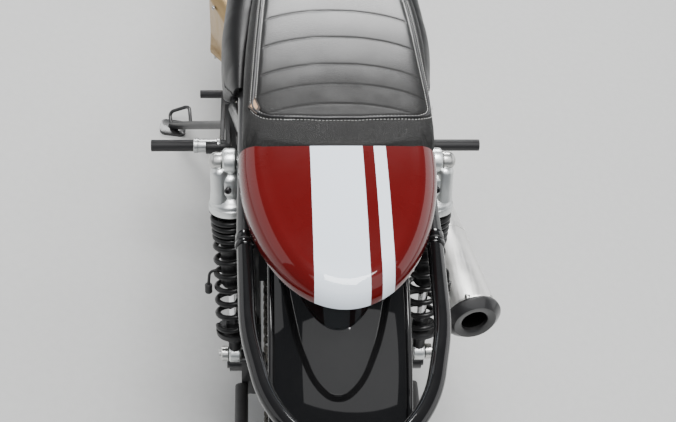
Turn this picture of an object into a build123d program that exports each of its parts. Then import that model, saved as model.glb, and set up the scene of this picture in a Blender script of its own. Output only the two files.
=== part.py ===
from build123d import *
import os
from math import acos, atan2, cos, degrees, pi, radians, sin, sqrt, tan

os.makedirs("parts", exist_ok=True)

# Frame of the model: the machine stands upright while it is drawn, +Y forward, +X to its right,
# the rear axle over Y = 0 and the ground at Z = 0. PARKED then leans it on its side stand.
LEAN = 10.0
PARKED_X = 161.0
PARKED_Y = -638.5
PARKED = Pos(PARKED_X, PARKED_Y, 0) * Rot(0, -LEAN, 0)
GROUND = Rot(0, LEAN, 0)

# Steering geometry
WHEELBASE = 1415.0
RAKE = 23.5
TRAIL = 95.0

# Clearances
SEAT_GAP = 0.3
RUN_GAP = 0.5
FREE_GAP = 5.0

# Wheels
RIM_SEAT_RADIUS = 216.0
REAR_TYRE_RADIUS = 312.0
REAR_TYRE_WIDTH = 150.0
REAR_CROWN = 82.0
REAR_BEAD = 54.0
FRONT_TYRE_RADIUS = 300.0
FRONT_TYRE_WIDTH = 118.0
FRONT_CROWN = 62.0
FRONT_BEAD = 44.0
FLANGE_WIDTH = 5.5
FLANGE_HEIGHT = 13.0
RIM_WALL = 8.0
RIM_WELL = 9.0
SPOKES = 36
SPOKE_RADIUS = 1.9
HUB_BARREL = 32.0
HUB_FLANGE = 56.0
SPOKE_SPREAD = 22.0
AXLE_RADIUS = 10.0

REAR_AXLE_HEIGHT = REAR_TYRE_RADIUS + REAR_CROWN * (1 / cos(radians(LEAN)) - 1)
FRONT_AXLE_HEIGHT = FRONT_TYRE_RADIUS + FRONT_CROWN * (1 / cos(radians(LEAN)) - 1)
REAR_HUB_HALF = 60.0
FRONT_HUB_HALF = 52.0
REAR_DISC_X = 72.5
REAR_DISC_RADIUS = 110.0
FRONT_DISC_X = 63.0
FRONT_DISC_RADIUS = 155.0
DISC_THICKNESS = 5.0

# Final drive
CHAIN_PITCH = 15.875
REAR_TEETH = 44
FRONT_TEETH = 17
CHAIN_X = -92.0
CHAIN_HEIGHT = 14.0
OUTER_LINK_WIDTH = 20.0
INNER_LINK_WIDTH = 15.0
SPROCKET_WIDTH = 6.0
DRIVE_Y = 600.0
DRIVE_Z = 395.0

# Swingarm and suspension
PIVOT_Y = 512.0
PIVOT_Z = 400.0
ARM_X = 128.0
ARM_RADIUS = 22.0
PIVOT_TUBE_RADIUS = 26.0
SHOCK_TOP = (148.0, 84.0, 695.0)
SHOCK_BOTTOM = (148.0, -18.0, 362.0)
SHOCK_EYE_RADIUS = 19.0
SHOCK_LOWER_EYE_RADIUS = 14.0
SHOCK_EYE_WIDTH = 20.0
SHOCK_HEAD_RADIUS = 18.0
SHOCK_WAIST_RADIUS = 16.0
SHOCK_COLLAR_RADIUS = 32.0
SHOCK_TUBE_RADIUS = 17.5
SHOCK_ROD_RADIUS = 7.5
SHOCK_FOOT_RADIUS = 9.5
ADJUSTER_RADIUS = 9.5
SPRING_RADIUS = 24.5
SPRING_WIRE = 4.5
SPRING_TURNS = 10
SHOCK_PIN_RADIUS = 7.0

# Frame tubes
TUBE_RADIUS = 15.0
RAIL_X = 127.0
RAIL_Z = 728.0
RAIL_RADIUS = 11.0
BACKBONE_RADIUS = 22.0
CRADLE_Z = 192.0
CRADLE_X = 105.0
PLATE_INNER = 152.0
PLATE_THICKNESS = 10.0
CROSS_FRONT_Y = 140.0
CROSS_REAR_Y = -68.0

# Side covers
COVER_INNER = 157.0
COVER_DEPTH = 14.0
COVER_PEG_Z = (665.0, 600.0)

# Rider's pegs
PEG_Y = 458.0
PEG_Z = 367.0
PEG_RADIUS = 11.0

# Rear loop behind the sleeves
LOOP_JOINT_Y = -102.0
LOOP_SLEEVE_RADIUS = 13.5

# Fork, measured along and across the steering axis
FORK_X = 100.0
STANCHION_RADIUS = 21.5
LOWER_LEG_RADIUS = 27.0
LOWER_LEG_TOP = 660.0
LOWER_CLAMP_S = 790.0
LOWER_CLAMP_HEIGHT = 32.0
HEAD_TUBE_RADIUS = 30.0
HEAD_TUBE_LENGTH = 140.0
UPPER_CLAMP_HEIGHT = 25.0
BAR_CLAMP_HEIGHT = 32.0
BAR_RISE = 4.0
BAR_RADIUS = 11.0
BAR_LENGTH = 250.0
BAR_SWEEP = 22.0
BAR_DROOP = 9.0
GRIP_RADIUS = 16.5
GRIP_LENGTH = 120.0

# Seat and tail
SEAT_REAR_Y = 15.0
SEAT_FRONT_Y = 612.0
SEAT_PAN_Z = 739.3
SEAT_PAN_THICKNESS = 10.0
COWL_HALF_WIDTH = 136.0
COWL_LENGTH = 249.0
COWL_FRONT_BOW = 20.0
COWL_BASE_Z = 748.0
COWL_TOP_Z = 812.0
COWL_CROWN_RADIUS = 430.0
COWL_DROP_RADIUS = 760.0
COWL_SHOULDER = 34.0

# Tank tunnel over the backbone
TUNNEL_HALF = 31.0

# Filler cap in its recess
CAP_Y = 900.0
CAP_Z = 941.0
CAP_RADIUS = 36.0

# Rear fender, an arch round the rear axle
FENDER_RADIUS = 392.0
FENDER_HALF_WIDTH = 97.0
FENDER_THICKNESS = 3.0
FENDER_CROWN = 22.0

# Plate and its stays from the swingarm
PLATE_Y = -421.0
PLATE_Z = 428.0
PLATE_WIDTH = 180.0
PLATE_HEIGHT = 105.0
STAY_X = 138.0
STAY_START_Y = -48.0 - SEAT_GAP
STAY_RADIUS = 10.5

# Tail lamp on the fender, angles from +Y upwards
LAMP_ANGLE = 144.0
LAMP_TILT = 158.0
LAMP_RADIUS = 36.0

# Engine
CASE_HALF = 118.0
ALTERNATOR_Y = 842.0
ALTERNATOR_Z = 360.0
ALTERNATOR_RADIUS = 82.0
ALTERNATOR_DEPTH = 46.0
CASE_TOP = 505.0
CASE_BOTTOM = 214.0
BARREL_Y = 820.0
BARREL_TOP = 632.0
HEAD_TOP = 690.0
PORT_Z = 662.0
PORT_X = 62.0
PORT_REACH = 98.0
FIN_PITCH = 12.0
FIN_THICKNESS = 4.0

# Exhaust
HEADER_RADIUS = 20.0
TAILPIPE_RADIUS = 24.0
MUFFLER_RADIUS = 42.0
MUFFLER_LENGTH = 270.0
MUFFLER_CONE = 50.0
MUFFLER_END = (230.0, -24.0, 443.0)
MUFFLER_SPLAY = 10.0
MUFFLER_RISE = 3.0
MUFFLER_BORE = 21.0
MUFFLER_CORE = 30.0
MUFFLER_CORE_SHARE = 0.6
END_CAP_LENGTH = 16.0
END_CAP_LIP = 36.0
END_CAP_RADIUS = 46.0

# Side stand
STAND_PIVOT = (-150.0, 690.0, 205.0)
STAND_FOOT_X = -312.0
STAND_FOOT_Y = 838.0
STAND_FOOT_THICKNESS = 8.0
STAND_LEG_RADIUS = 9.5
STAND_EYE_HALF = 11.0
STAND_PIN_RADIUS = 7.0
STAND_FOLDED = (-0.16, -0.98, 0.08)

UP = (Align.CENTER, Align.CENTER, Align.MIN)


def rod(start, end, radius):
    """Round bar between two points."""
    start = Vector(*start)
    along = Vector(*end) - start
    return Plane(origin=start, z_dir=along) * Cylinder(radius, along.length, align=UP)


def cone(start, end, start_radius, end_radius):
    """Tapered round bar between two points."""
    start = Vector(*start)
    along = Vector(*end) - start
    return Plane(origin=start, z_dir=along) * Cone(start_radius, end_radius, along.length, align=UP)


def across(x_from, x_to, y, z, radius):
    """Round bar along X."""
    return Pos(x_from, y, z) * Rot(0, 90, 0) * Cylinder(radius, x_to - x_from, align=UP)


def pipe(points, radius, bends):
    """Round tube along straight runs joined by tangent arcs."""
    path = FilletPolyline(*points, radius=bends)
    return sweep((path ^ 0) * Circle(radius), path=path)


def slab(points, x_from, x_to, corner=0.0):
    """Plate whose outline is seen from the side, as (Y, Z) points."""
    face = make_face(Polyline(*points, close=True))
    if corner > 0:
        face = fillet(face.vertices(), corner)
    return extrude(Plane.YZ.offset(x_from) * face, x_to - x_from)


def mirrored(shape):
    """The same piece on the other side of the machine."""
    return mirror(shape, Plane.YZ)


def both(shape):
    """A piece and its mirror image."""
    return shape + mirrored(shape)


def group(*shapes):
    """Separate solids kept in one node."""
    return Compound([solid for shape in shapes for solid in shape.solids()])


def pick(point, side):
    """A point of the right side, or its mirror image where side is -1."""
    return (point[0] * side, point[1], point[2])


def fork_frame():
    """Frame of the steering axis: Z up along it, Y forward, origin where it meets the ground."""
    return Pos(0, WHEELBASE + TRAIL, 0) * Rot(RAKE, 0, 0)


AXLE_S = FRONT_AXLE_HEIGHT * cos(radians(RAKE)) + TRAIL * sin(radians(RAKE))
FORK_OFFSET = FRONT_AXLE_HEIGHT * sin(radians(RAKE)) - TRAIL * cos(radians(RAKE))
HEAD_TUBE_S = LOWER_CLAMP_S + LOWER_CLAMP_HEIGHT + RUN_GAP
UPPER_CLAMP_S = HEAD_TUBE_S + HEAD_TUBE_LENGTH + RUN_GAP
BAR_CLAMP_S = UPPER_CLAMP_S + UPPER_CLAMP_HEIGHT + SEAT_GAP
FORK_TOP_S = BAR_CLAMP_S + BAR_CLAMP_HEIGHT + 6.0


def steering_point(x, y, s):
    """World point of a place given in the steering axis' frame."""
    return (
        x,
        WHEELBASE + TRAIL - s * sin(radians(RAKE)) + y * cos(radians(RAKE)),
        s * cos(radians(RAKE)) + y * sin(radians(RAKE)),
    )


def at_rear_axle(shape):
    """Move a wheel piece drawn about the origin to the rear axle."""
    return Pos(0, 0, REAR_AXLE_HEIGHT) * shape


def at_front_axle(shape):
    """Move a wheel piece drawn about the origin to the front axle."""
    return Pos(0, WHEELBASE, FRONT_AXLE_HEIGHT) * shape


# Wheels, drawn about the X axis

def tyre(radius, width, crown, bead):
    """Tyre ring: a round crown, straight shoulders and sidewalls, and the beads on the rim."""
    crown_angle = radians(25)
    crown_x = crown * sin(crown_angle)
    crown_r = radius - crown * (1 - cos(crown_angle))
    seat = RIM_SEAT_RADIUS
    height = radius - seat
    arc = ThreePointArc((-crown_x, crown_r), (0, radius), (crown_x, crown_r))
    side = Polyline(
        (crown_x, crown_r),
        (width * 0.44, seat + height * 0.70),
        (width * 0.50, seat + height * 0.46),
        (bead, seat + FLANGE_HEIGHT + SEAT_GAP),
        (bead, seat),
        (-bead, seat),
        (-bead, seat + FLANGE_HEIGHT + SEAT_GAP),
        (-width * 0.50, seat + height * 0.46),
        (-width * 0.44, seat + height * 0.70),
        (-crown_x, crown_r),
    )
    return revolve(make_face(arc + side), Axis.X, 360)


def rim(bead):
    """Spoked rim: two flanges, bead seats and a dropped well."""
    seat = RIM_SEAT_RADIUS - SEAT_GAP
    inner = bead + SEAT_GAP
    outer = inner + FLANGE_WIDTH
    top = RIM_SEAT_RADIUS + FLANGE_HEIGHT
    well = bead * 0.5
    points = [
        (outer, top),
        (inner, top),
        (inner, seat),
        (well + RIM_WELL, seat),
        (well, seat - RIM_WELL),
        (-well, seat - RIM_WELL),
        (-well - RIM_WELL, seat),
        (-inner, seat),
        (-inner, top),
        (-outer, top),
        (-outer, seat - RIM_WALL * 0.5),
        (-well, seat - RIM_WELL - RIM_WALL),
        (well, seat - RIM_WELL - RIM_WALL),
        (outer, seat - RIM_WALL * 0.5),
    ]
    return revolve(make_face(Polyline(*points, close=True)), Axis.X, 360)


def spoke(side, angle, lay):
    """One spoke from a hub flange to the rim's well, laid over to one side."""
    flange_x = side * (SPOKE_SPREAD + 5.0 + 4.0 * lay)
    start_angle = radians(angle)
    end_angle = radians(angle + 32.0 * lay)
    start_r = HUB_FLANGE - 6.0
    end_r = RIM_SEAT_RADIUS - SEAT_GAP - RIM_WELL - RIM_WALL + 2.0
    start = (flange_x, start_r * cos(start_angle), start_r * sin(start_angle))
    end = (side * 6.0, end_r * cos(end_angle), end_r * sin(end_angle))
    return rod(start, end, SPOKE_RADIUS)


def wire_hub(half_length, bead):
    """Hub barrel with two flanges and the spokes that reach the rim face to face."""
    barrel = across(-half_length, half_length, 0, 0, HUB_BARREL)
    flange = across(SPOKE_SPREAD, SPOKE_SPREAD + 10.0, 0, 0, HUB_FLANGE)
    hub = barrel + both(flange)
    quarter = SPOKES // 4
    step = 360.0 / quarter
    spokes = []
    for index in range(quarter):
        # columns: side of the hub, start angle, direction of lay
        for side, phase, lay in ((1, 0.0, 1), (1, 0.5, -1), (-1, 0.25, 1), (-1, 0.75, -1)):
            spokes.append(spoke(side, (index + phase) * step, lay))
    hub = hub + spokes
    hub = hub - across(-half_length - 1, half_length + 1, 0, 0, AXLE_RADIUS + RUN_GAP)
    well_radius = RIM_SEAT_RADIUS - SEAT_GAP - RIM_WELL - RIM_WALL
    envelope = across(-bead, bead, 0, 0, well_radius + 20.0) - across(-bead, bead, 0, 0, well_radius)
    return hub - envelope


def brake_disc(x_centre, radius, centre_bore, window_radius):
    """Brake disc with a ring of vent slots between its friction band and its carrier."""
    disc = across(x_centre - DISC_THICKNESS / 2, x_centre + DISC_THICKNESS / 2, 0, 0, radius)
    disc = disc - across(x_centre - 9, x_centre + 9, 0, 0, centre_bore)
    for index in range(8):
        window = across(x_centre - 9, x_centre + 9, radius * 0.52, 0, window_radius)
        disc = disc - Rot(index * 45.0, 0, 0) * window
    return disc


def sprocket_radius(teeth):
    """Pitch radius of a sprocket."""
    return CHAIN_PITCH / 2 / sin(pi / teeth)


def sprocket(teeth, tip_radius, bore):
    """Toothed wheel, its tips inside the chain."""
    root = tip_radius - 6.0
    points = []
    for index in range(teeth):
        # columns: share of a tooth, radius
        for share, radius in ((-0.32, root), (-0.12, tip_radius), (0.12, tip_radius), (0.32, root)):
            angle = 2 * pi * (index + share) / teeth
            points.append((radius * cos(angle), radius * sin(angle)))
    blank = slab(points, -SPROCKET_WIDTH / 2, SPROCKET_WIDTH / 2)
    return blank - across(-9, 9, 0, 0, bore)


def rear_sprocket():
    """Driven sprocket with lightening holes and the carrier that seats on the hub."""
    tip = sprocket_radius(REAR_TEETH) - CHAIN_HEIGHT / 2 - FREE_GAP
    wheel = sprocket(REAR_TEETH, tip, AXLE_RADIUS + RUN_GAP)
    for index in range(6):
        wheel = wheel - Rot(index * 60.0, 0, 0) * across(-9, 9, tip * 0.68, 0, 13.0)
    wheel = Pos(CHAIN_X, 0, 0) * wheel
    carrier = across(CHAIN_X + SPROCKET_WIDTH / 2, -REAR_HUB_HALF - SEAT_GAP, 0, 0, 44.0)
    carrier = carrier - across(-200, 0, 0, 0, AXLE_RADIUS + RUN_GAP)
    return wheel + carrier


def rear_disc():
    """Rear brake disc with the boss that seats on the hub."""
    disc = brake_disc(REAR_DISC_X, REAR_DISC_RADIUS, AXLE_RADIUS + RUN_GAP, 17.0)
    boss = across(REAR_HUB_HALF + SEAT_GAP, REAR_DISC_X - DISC_THICKNESS / 2, 0, 0, 34.0)
    return disc + (boss - across(0, 200, 0, 0, AXLE_RADIUS + RUN_GAP))


def front_discs():
    """The two front discs, each on its carrier."""
    disc = brake_disc(FRONT_DISC_X, FRONT_DISC_RADIUS, AXLE_RADIUS + RUN_GAP, 24.0)
    boss = across(FRONT_HUB_HALF + SEAT_GAP, FRONT_DISC_X - DISC_THICKNESS / 2, 0, 0, 34.0)
    disc = disc + (boss - across(0, 200, 0, 0, AXLE_RADIUS + RUN_GAP))
    return group(disc, mirrored(disc))


# Final drive

def chain_path():
    """Lengths and points of the chain's loop round both sprockets."""
    rear = Vector(0, REAR_AXLE_HEIGHT)
    front = Vector(DRIVE_Y, DRIVE_Z)
    rear_r = sprocket_radius(REAR_TEETH)
    front_r = sprocket_radius(FRONT_TEETH)
    span = front - rear
    base = atan2(span.Y, span.X)
    open_angle = acos((rear_r - front_r) / span.length)
    run = sqrt(span.length ** 2 - (rear_r - front_r) ** 2)
    return rear, front, rear_r, front_r, base, open_angle, run


def chain_place(distance):
    """Point (Y, Z) and heading in degrees at a distance along the chain's loop."""
    rear, front, rear_r, front_r, base, open_angle, run = chain_path()
    top = base + open_angle
    if distance < run:
        start = rear + Vector(cos(top), sin(top)) * rear_r
        heading = top - pi / 2
        point = start + Vector(cos(heading), sin(heading)) * distance
        return point.X, point.Y, degrees(heading)
    distance -= run
    front_arc = 2 * open_angle * front_r
    if distance < front_arc:
        angle = top - distance / front_r
        point = front + Vector(cos(angle), sin(angle)) * front_r
        return point.X, point.Y, degrees(angle - pi / 2)
    distance -= front_arc
    low = base - open_angle
    if distance < run:
        start = front + Vector(cos(low), sin(low)) * front_r
        heading = low - pi / 2
        point = start + Vector(cos(heading), sin(heading)) * distance
        return point.X, point.Y, degrees(heading)
    distance -= run
    angle = low - distance / rear_r
    point = rear + Vector(cos(angle), sin(angle)) * rear_r
    return point.X, point.Y, degrees(angle - pi / 2)


def chain():
    """Drive chain: outer and inner links in turn round the loop."""
    rear, front, rear_r, front_r, base, open_angle, run = chain_path()
    length = 2 * run + 2 * open_angle * front_r + 2 * (pi - open_angle) * rear_r
    count = 2 * round(length / CHAIN_PITCH / 2)
    pitch = length / count
    half = pitch / 2 - 0.35
    high = CHAIN_HEIGHT / 2
    outline = [(-half, high * 0.5), (-half + 4, high), (half - 4, high), (half, high * 0.5),
               (half, -high * 0.5), (half - 4, -high), (-half + 4, -high), (-half, -high * 0.5)]
    links = []
    for index in range(count):
        y, z, heading = chain_place((index + 0.5) * pitch)
        width = OUTER_LINK_WIDTH if index % 2 else INNER_LINK_WIDTH
        link = slab(outline, CHAIN_X - width / 2, CHAIN_X + width / 2)
        links.append(Pos(0, y, z) * Rot(heading, 0, 0) * link)
    return group(*links)


def chain_guard():
    """Guard over the chain's upper run, on the swingarm."""
    y_front, z_front = 430.0, 468.0
    y_rear, z_rear = 60.0, 452.0
    plate = slab([(y_rear - 50, z_rear - 34), (y_rear, z_rear - 24), (y_front, z_front - 26),
                  (y_front, z_front), (y_rear, z_rear)], CHAIN_X - 18, CHAIN_X - 15.5)
    roof = slab([(y_rear, z_rear - 2.5), (y_front, z_front - 2.5), (y_front, z_front),
                 (y_rear, z_rear)], CHAIN_X - 18, CHAIN_X + 10)
    stay = slab([(300, 370), (330, 370), (330, z_front - 20), (300, z_front - 20)],
                CHAIN_X - 22, CHAIN_X - 17.9)
    return plate + roof + stay - mirrored(swing_tube(ARM_RADIUS + SEAT_GAP))


# Swingarm and suspension

def swing_tube(radius):
    """The right arm's tube."""
    return rod((ARM_X, PIVOT_Y, PIVOT_Z), (ARM_X, 30, REAR_AXLE_HEIGHT + 5), radius)


def swingarm():
    """Twin-arm fork with its pivot tube, brace, axle ends and the rear axle with its spacers."""
    tube = across(-ARM_X - ARM_RADIUS, ARM_X + ARM_RADIUS, PIVOT_Y, PIVOT_Z, PIVOT_TUBE_RADIUS)
    arm = swing_tube(ARM_RADIUS)
    low = REAR_AXLE_HEIGHT - 27
    high = REAR_AXLE_HEIGHT + 27
    end = slab([(-48, low), (60, low), (60, high), (20, high), (SHOCK_BOTTOM[1] + 14, SHOCK_BOTTOM[2] + 2),
                (SHOCK_BOTTOM[1] - 14, SHOCK_BOTTOM[2] + 2), (-48, high - 14)],
               ARM_X - ARM_RADIUS, SHOCK_BOTTOM[0] - SHOCK_EYE_WIDTH / 2 - SEAT_GAP, 6)
    pin = across(ARM_X - 8, SHOCK_BOTTOM[0] + SHOCK_EYE_WIDTH / 2 + 14, SHOCK_BOTTOM[1],
                 SHOCK_BOTTOM[2], SHOCK_PIN_RADIUS)
    eye_face = SHOCK_BOTTOM[0] + SHOCK_EYE_WIDTH / 2
    nut = across(eye_face + SEAT_GAP, eye_face + 9,
                 SHOCK_BOTTOM[1], SHOCK_BOTTOM[2], 11.0)
    brace = across(-ARM_X, ARM_X, PIVOT_Y - 112, PIVOT_Z - 18, 15.0)
    axle = across(-162, 162, 0, REAR_AXLE_HEIGHT, AXLE_RADIUS)
    axle_nut = across(SHOCK_BOTTOM[0] - SHOCK_EYE_WIDTH / 2 - 2, 158, 0, REAR_AXLE_HEIGHT, 15.0)
    inner = ARM_X - ARM_RADIUS + 1
    left_spacer = across(-inner, CHAIN_X - SPROCKET_WIDTH / 2 - RUN_GAP, 0, REAR_AXLE_HEIGHT, 16.0)
    right_spacer = across(REAR_DISC_X + DISC_THICKNESS / 2 + RUN_GAP, inner, 0, REAR_AXLE_HEIGHT, 16.0)
    whole = tube + both(arm) + both(end) + both(pin) + both(nut) + brace
    whole = whole + axle + both(axle_nut) + left_spacer + right_spacer
    return whole - across(-200, 200, PIVOT_Y, PIVOT_Z, AXLE_RADIUS + SEAT_GAP)


def shock_axis(side):
    """Plane at a shock's top eye, its Z along the shock towards the bottom eye."""
    top = Vector(*pick(SHOCK_TOP, side))
    bottom = Vector(*pick(SHOCK_BOTTOM, side))
    return Plane(origin=top, x_dir=(1, 0, 0), z_dir=bottom - top)


SHOCK_LENGTH = (Vector(*SHOCK_BOTTOM) - Vector(*SHOCK_TOP)).length
SPRING_START = 62.0
SPRING_END = SHOCK_LENGTH - 52.0


def shock_body(side):
    """Damper with its eyes, head casting and adjuster, spring collar and seat, and rod."""
    def bar(start, end, radius):
        return Pos(0, 0, start) * Cylinder(radius, end - start, align=UP)
    half = SHOCK_EYE_WIDTH / 2
    eye = across(-half, half, 0, 0, SHOCK_EYE_RADIUS)
    low_eye = Pos(0, 0, SHOCK_LENGTH) * across(-half, half, 0, 0, SHOCK_LOWER_EYE_RADIUS)
    head = bar(SHOCK_EYE_RADIUS - 3, 40, SHOCK_HEAD_RADIUS) + bar(0, SHOCK_EYE_RADIUS, half)
    waist = bar(38, 50, SHOCK_WAIST_RADIUS)
    collar = bar(48, SPRING_START - SEAT_GAP, SHOCK_COLLAR_RADIUS)
    tube = bar(40, 200, SHOCK_TUBE_RADIUS)
    stem = bar(190, SHOCK_LENGTH - 8, SHOCK_ROD_RADIUS)
    seat = bar(SPRING_END + SEAT_GAP, SPRING_END + 10, SPRING_RADIUS + SPRING_WIRE)
    foot = bar(SPRING_END + 8, SHOCK_LENGTH - 8, SHOCK_FOOT_RADIUS)
    adjuster = Pos(side * (half + 3), -ADJUSTER_RADIUS, 14) * Cylinder(ADJUSTER_RADIUS, 24, align=UP)
    body = eye + low_eye + head + waist + collar + tube + stem + seat + foot + adjuster
    body = body - across(-60, 60, 0, 0, SHOCK_PIN_RADIUS + SEAT_GAP)
    body = body - Pos(0, 0, SHOCK_LENGTH) * across(-60, 60, 0, 0, SHOCK_PIN_RADIUS + SEAT_GAP)
    return shock_axis(side) * body


def shock_spring(side):
    """Open coil spring between a shock's two seats."""
    height = SPRING_END - SPRING_START - 2 * SPRING_WIRE
    path = Helix(height / SPRING_TURNS, height, SPRING_RADIUS)
    coil = sweep((path ^ 0) * Circle(SPRING_WIRE), path=path)
    return shock_axis(side) * Pos(0, 0, SPRING_START + SPRING_WIRE) * coil


# Frame

def seat_post(radius):
    """The right post from the seat rail to the pivot plate."""
    return rod((RAIL_X - 10, 470, RAIL_Z), (PLATE_INNER + 3, 506, PIVOT_Z + 48), radius)


def frame():
    """Head tube, backbone, double cradle, seat rails, pivot plates and the lugs on them."""
    head = fork_frame() * Pos(0, 0, HEAD_TUBE_S) * Cylinder(HEAD_TUBE_RADIUS, HEAD_TUBE_LENGTH, align=UP)
    bore = fork_frame() * Pos(0, 0, HEAD_TUBE_S - 5) * Cylinder(17.5, HEAD_TUBE_LENGTH + 10, align=UP)
    high = steering_point(0, 0, HEAD_TUBE_S + HEAD_TUBE_LENGTH - 45)
    backbone = pipe([high, (0, 900, 772), (0, 585, RAIL_Z - 16)], BACKBONE_RADIUS, 200)
    low = steering_point(14, -18, HEAD_TUBE_S + 40)
    cradle = pipe(
        [low, (CRADLE_X, 985, 300), (CRADLE_X, 930, CRADLE_Z), (CRADLE_X + 20, 560, CRADLE_Z),
         (PLATE_INNER + 4, 505, PIVOT_Z - 95)], TUBE_RADIUS, 60)
    plate = slab([(475, 292), (540, 292), (552, 380), (548, 445), (505, 470), (470, 420)],
                 PLATE_INNER, PLATE_INNER + PLATE_THICKNESS, 10)
    pivot_bolt = across(-PLATE_INNER - PLATE_THICKNESS - 8, PLATE_INNER + PLATE_THICKNESS + 8,
                        PIVOT_Y, PIVOT_Z, AXLE_RADIUS)
    rail = pipe([(16, 600, RAIL_Z), (RAIL_X - 28, 560, RAIL_Z), (RAIL_X, 380, RAIL_Z),
                 (RAIL_X, LOOP_JOINT_Y + 12, RAIL_Z)], RAIL_RADIUS, 60)
    post = seat_post(TUBE_RADIUS - 2)
    strut = rod((PLATE_INNER + 2, 484, PIVOT_Z + 38), (RAIL_X, 112, RAIL_Z - 6), RAIL_RADIUS)
    cross = across(-RAIL_X, RAIL_X, CROSS_FRONT_Y, RAIL_Z, RAIL_RADIUS)
    cross = cross + across(-RAIL_X, RAIL_X, CROSS_REAR_Y, RAIL_Z, RAIL_RADIUS)
    tank_stub = across(-TUNNEL_HALF + SEAT_GAP, TUNNEL_HALF - SEAT_GAP, 1010, 800, 8)
    tank_stub = tank_stub + across(-TUNNEL_HALF + SEAT_GAP, TUNNEL_HALF - SEAT_GAP, 700, 742, 8)
    engine_cross = across(-CRADLE_X - 10, CRADLE_X + 10, 600, CRADLE_Z, 11.0)
    engine_lug = slab([(660, CRADLE_Z), (700, CRADLE_Z), (694, CASE_BOTTOM - SEAT_GAP), (666, CASE_BOTTOM - SEAT_GAP)],
                      CRADLE_X - 10, CRADLE_X + 8) + slab(
        [(830, CRADLE_Z), (870, CRADLE_Z), (864, CASE_BOTTOM - SEAT_GAP), (836, CASE_BOTTOM - SEAT_GAP)],
        CRADLE_X - 12, CRADLE_X + 6)
    lug = slab([(SHOCK_TOP[1] - 26, RAIL_Z), (SHOCK_TOP[1] - 12, SHOCK_TOP[2] - 10),
                (SHOCK_TOP[1] + 12, SHOCK_TOP[2] - 10), (SHOCK_TOP[1] + 30, RAIL_Z)],
               RAIL_X - 5, SHOCK_TOP[0] - SHOCK_EYE_WIDTH / 2 - SEAT_GAP, 5)
    pin = across(RAIL_X - 2, SHOCK_TOP[0] + SHOCK_EYE_WIDTH / 2 + 10, SHOCK_TOP[1], SHOCK_TOP[2], SHOCK_PIN_RADIUS)
    nut = across(SHOCK_TOP[0] + SHOCK_EYE_WIDTH / 2 + SEAT_GAP, SHOCK_TOP[0] + SHOCK_EYE_WIDTH / 2 + 11,
                 SHOCK_TOP[1], SHOCK_TOP[2], 12.0)
    side = cradle + plate + rail + post + strut + lug + pin + nut + engine_lug
    whole = head + backbone + both(side) + cross + engine_cross + pivot_bolt
    whole = whole + stand_bracket() + tank_stub
    return whole - bore


def rear_loop():
    """Hoop behind the seat rails, joined to them by stepped sleeves."""
    # columns: X, Y of the hoop's corners on the right, bend radius
    corners = ((128.0, -261.0, 395.0), (94.0, -366.0, 180.0), (34.5, -427.0, 79.0))
    right = [(x, y, RAIL_Z) for x, y, bend in corners]
    left = [(-x, y, z) for x, y, z in reversed(right)]
    bends = [bend for x, y, bend in corners]
    start = (RAIL_X, LOOP_JOINT_Y - 12 + SEAT_GAP, RAIL_Z)
    points = [start] + right + left + [pick(start, -1)]
    hoop = pipe(points, RAIL_RADIUS, bends + bends[::-1])
    sleeve = rod((RAIL_X, LOOP_JOINT_Y + 12 - SEAT_GAP, RAIL_Z), (RAIL_X, LOOP_JOINT_Y - 13, RAIL_Z), LOOP_SLEEVE_RADIUS)
    return hoop + both(sleeve)


# Engine

def crankcase():
    """Engine cases with a recess on the left for the final drive, and the drive sprocket."""
    outline = [(556, 330), (575, 250), (640, CASE_BOTTOM), (870, CASE_BOTTOM), (945, 262), (958, 400), (905, CASE_TOP),
               (640, CASE_TOP), (566, 460)]
    main = slab(outline, -70, CASE_HALF, 16)
    left_front = slab([(690, 230), (870, CASE_BOTTOM), (945, 262), (958, 400), (905, CASE_TOP), (700, CASE_TOP)],
                      -CASE_HALF, -60, 16)
    shaft = across(CHAIN_X - 12, -60, DRIVE_Y, DRIVE_Z, 12.0)
    tip = sprocket_radius(FRONT_TEETH) - CHAIN_HEIGHT / 2 - SEAT_GAP
    drive = Pos(CHAIN_X, DRIVE_Y, DRIVE_Z) * sprocket(FRONT_TEETH, tip, 8.0)
    return main + left_front + shaft + drive


def round_cover(y, z, radius, y_small, z_small, small, x_from, x_to):
    """Cast cover outline round two bosses, with a rounded outer edge."""
    face = make_hull(((Pos(y, z) * Circle(radius)).edges() + (Pos(y_small, z_small) * Circle(small)).edges()))
    cover = extrude(Plane.YZ.offset(min(x_from, x_to)) * face, abs(x_to - x_from))
    outer = cover.faces().sort_by(Axis.X)[-1 if x_to > x_from else 0]
    return fillet(outer.edges(), abs(x_to - x_from) * 0.4)


def clutch_cover():
    """Right engine cover."""
    start = CASE_HALF + SEAT_GAP
    cover = round_cover(700, 372, 98, 845, 352, 74, start, start + 44)
    boss = across(start + 40, start + 50, 700, 372, 52)
    return cover + boss


def left_covers():
    """Left engine covers: the round alternator cover and the one over the drive sprocket."""
    start = -CASE_HALF - SEAT_GAP
    alternator = round_cover(ALTERNATOR_Y, ALTERNATOR_Z, ALTERNATOR_RADIUS, 742, 372, 62,
                             start, start - ALTERNATOR_DEPTH)
    sprocket_cover = round_cover(606, 395, 57, 650, 400, 60, CHAIN_X - OUTER_LINK_WIDTH / 2 - FREE_GAP - 1, -150)
    clear = across(-300, 0, ALTERNATOR_Y, ALTERNATOR_Z, ALTERNATOR_RADIUS + 1)
    return group(alternator, sprocket_cover - clear - slab(
        [(600, 300), (800, 300), (800, 500), (681, 500), (681, 300)], -200, -100))


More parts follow.
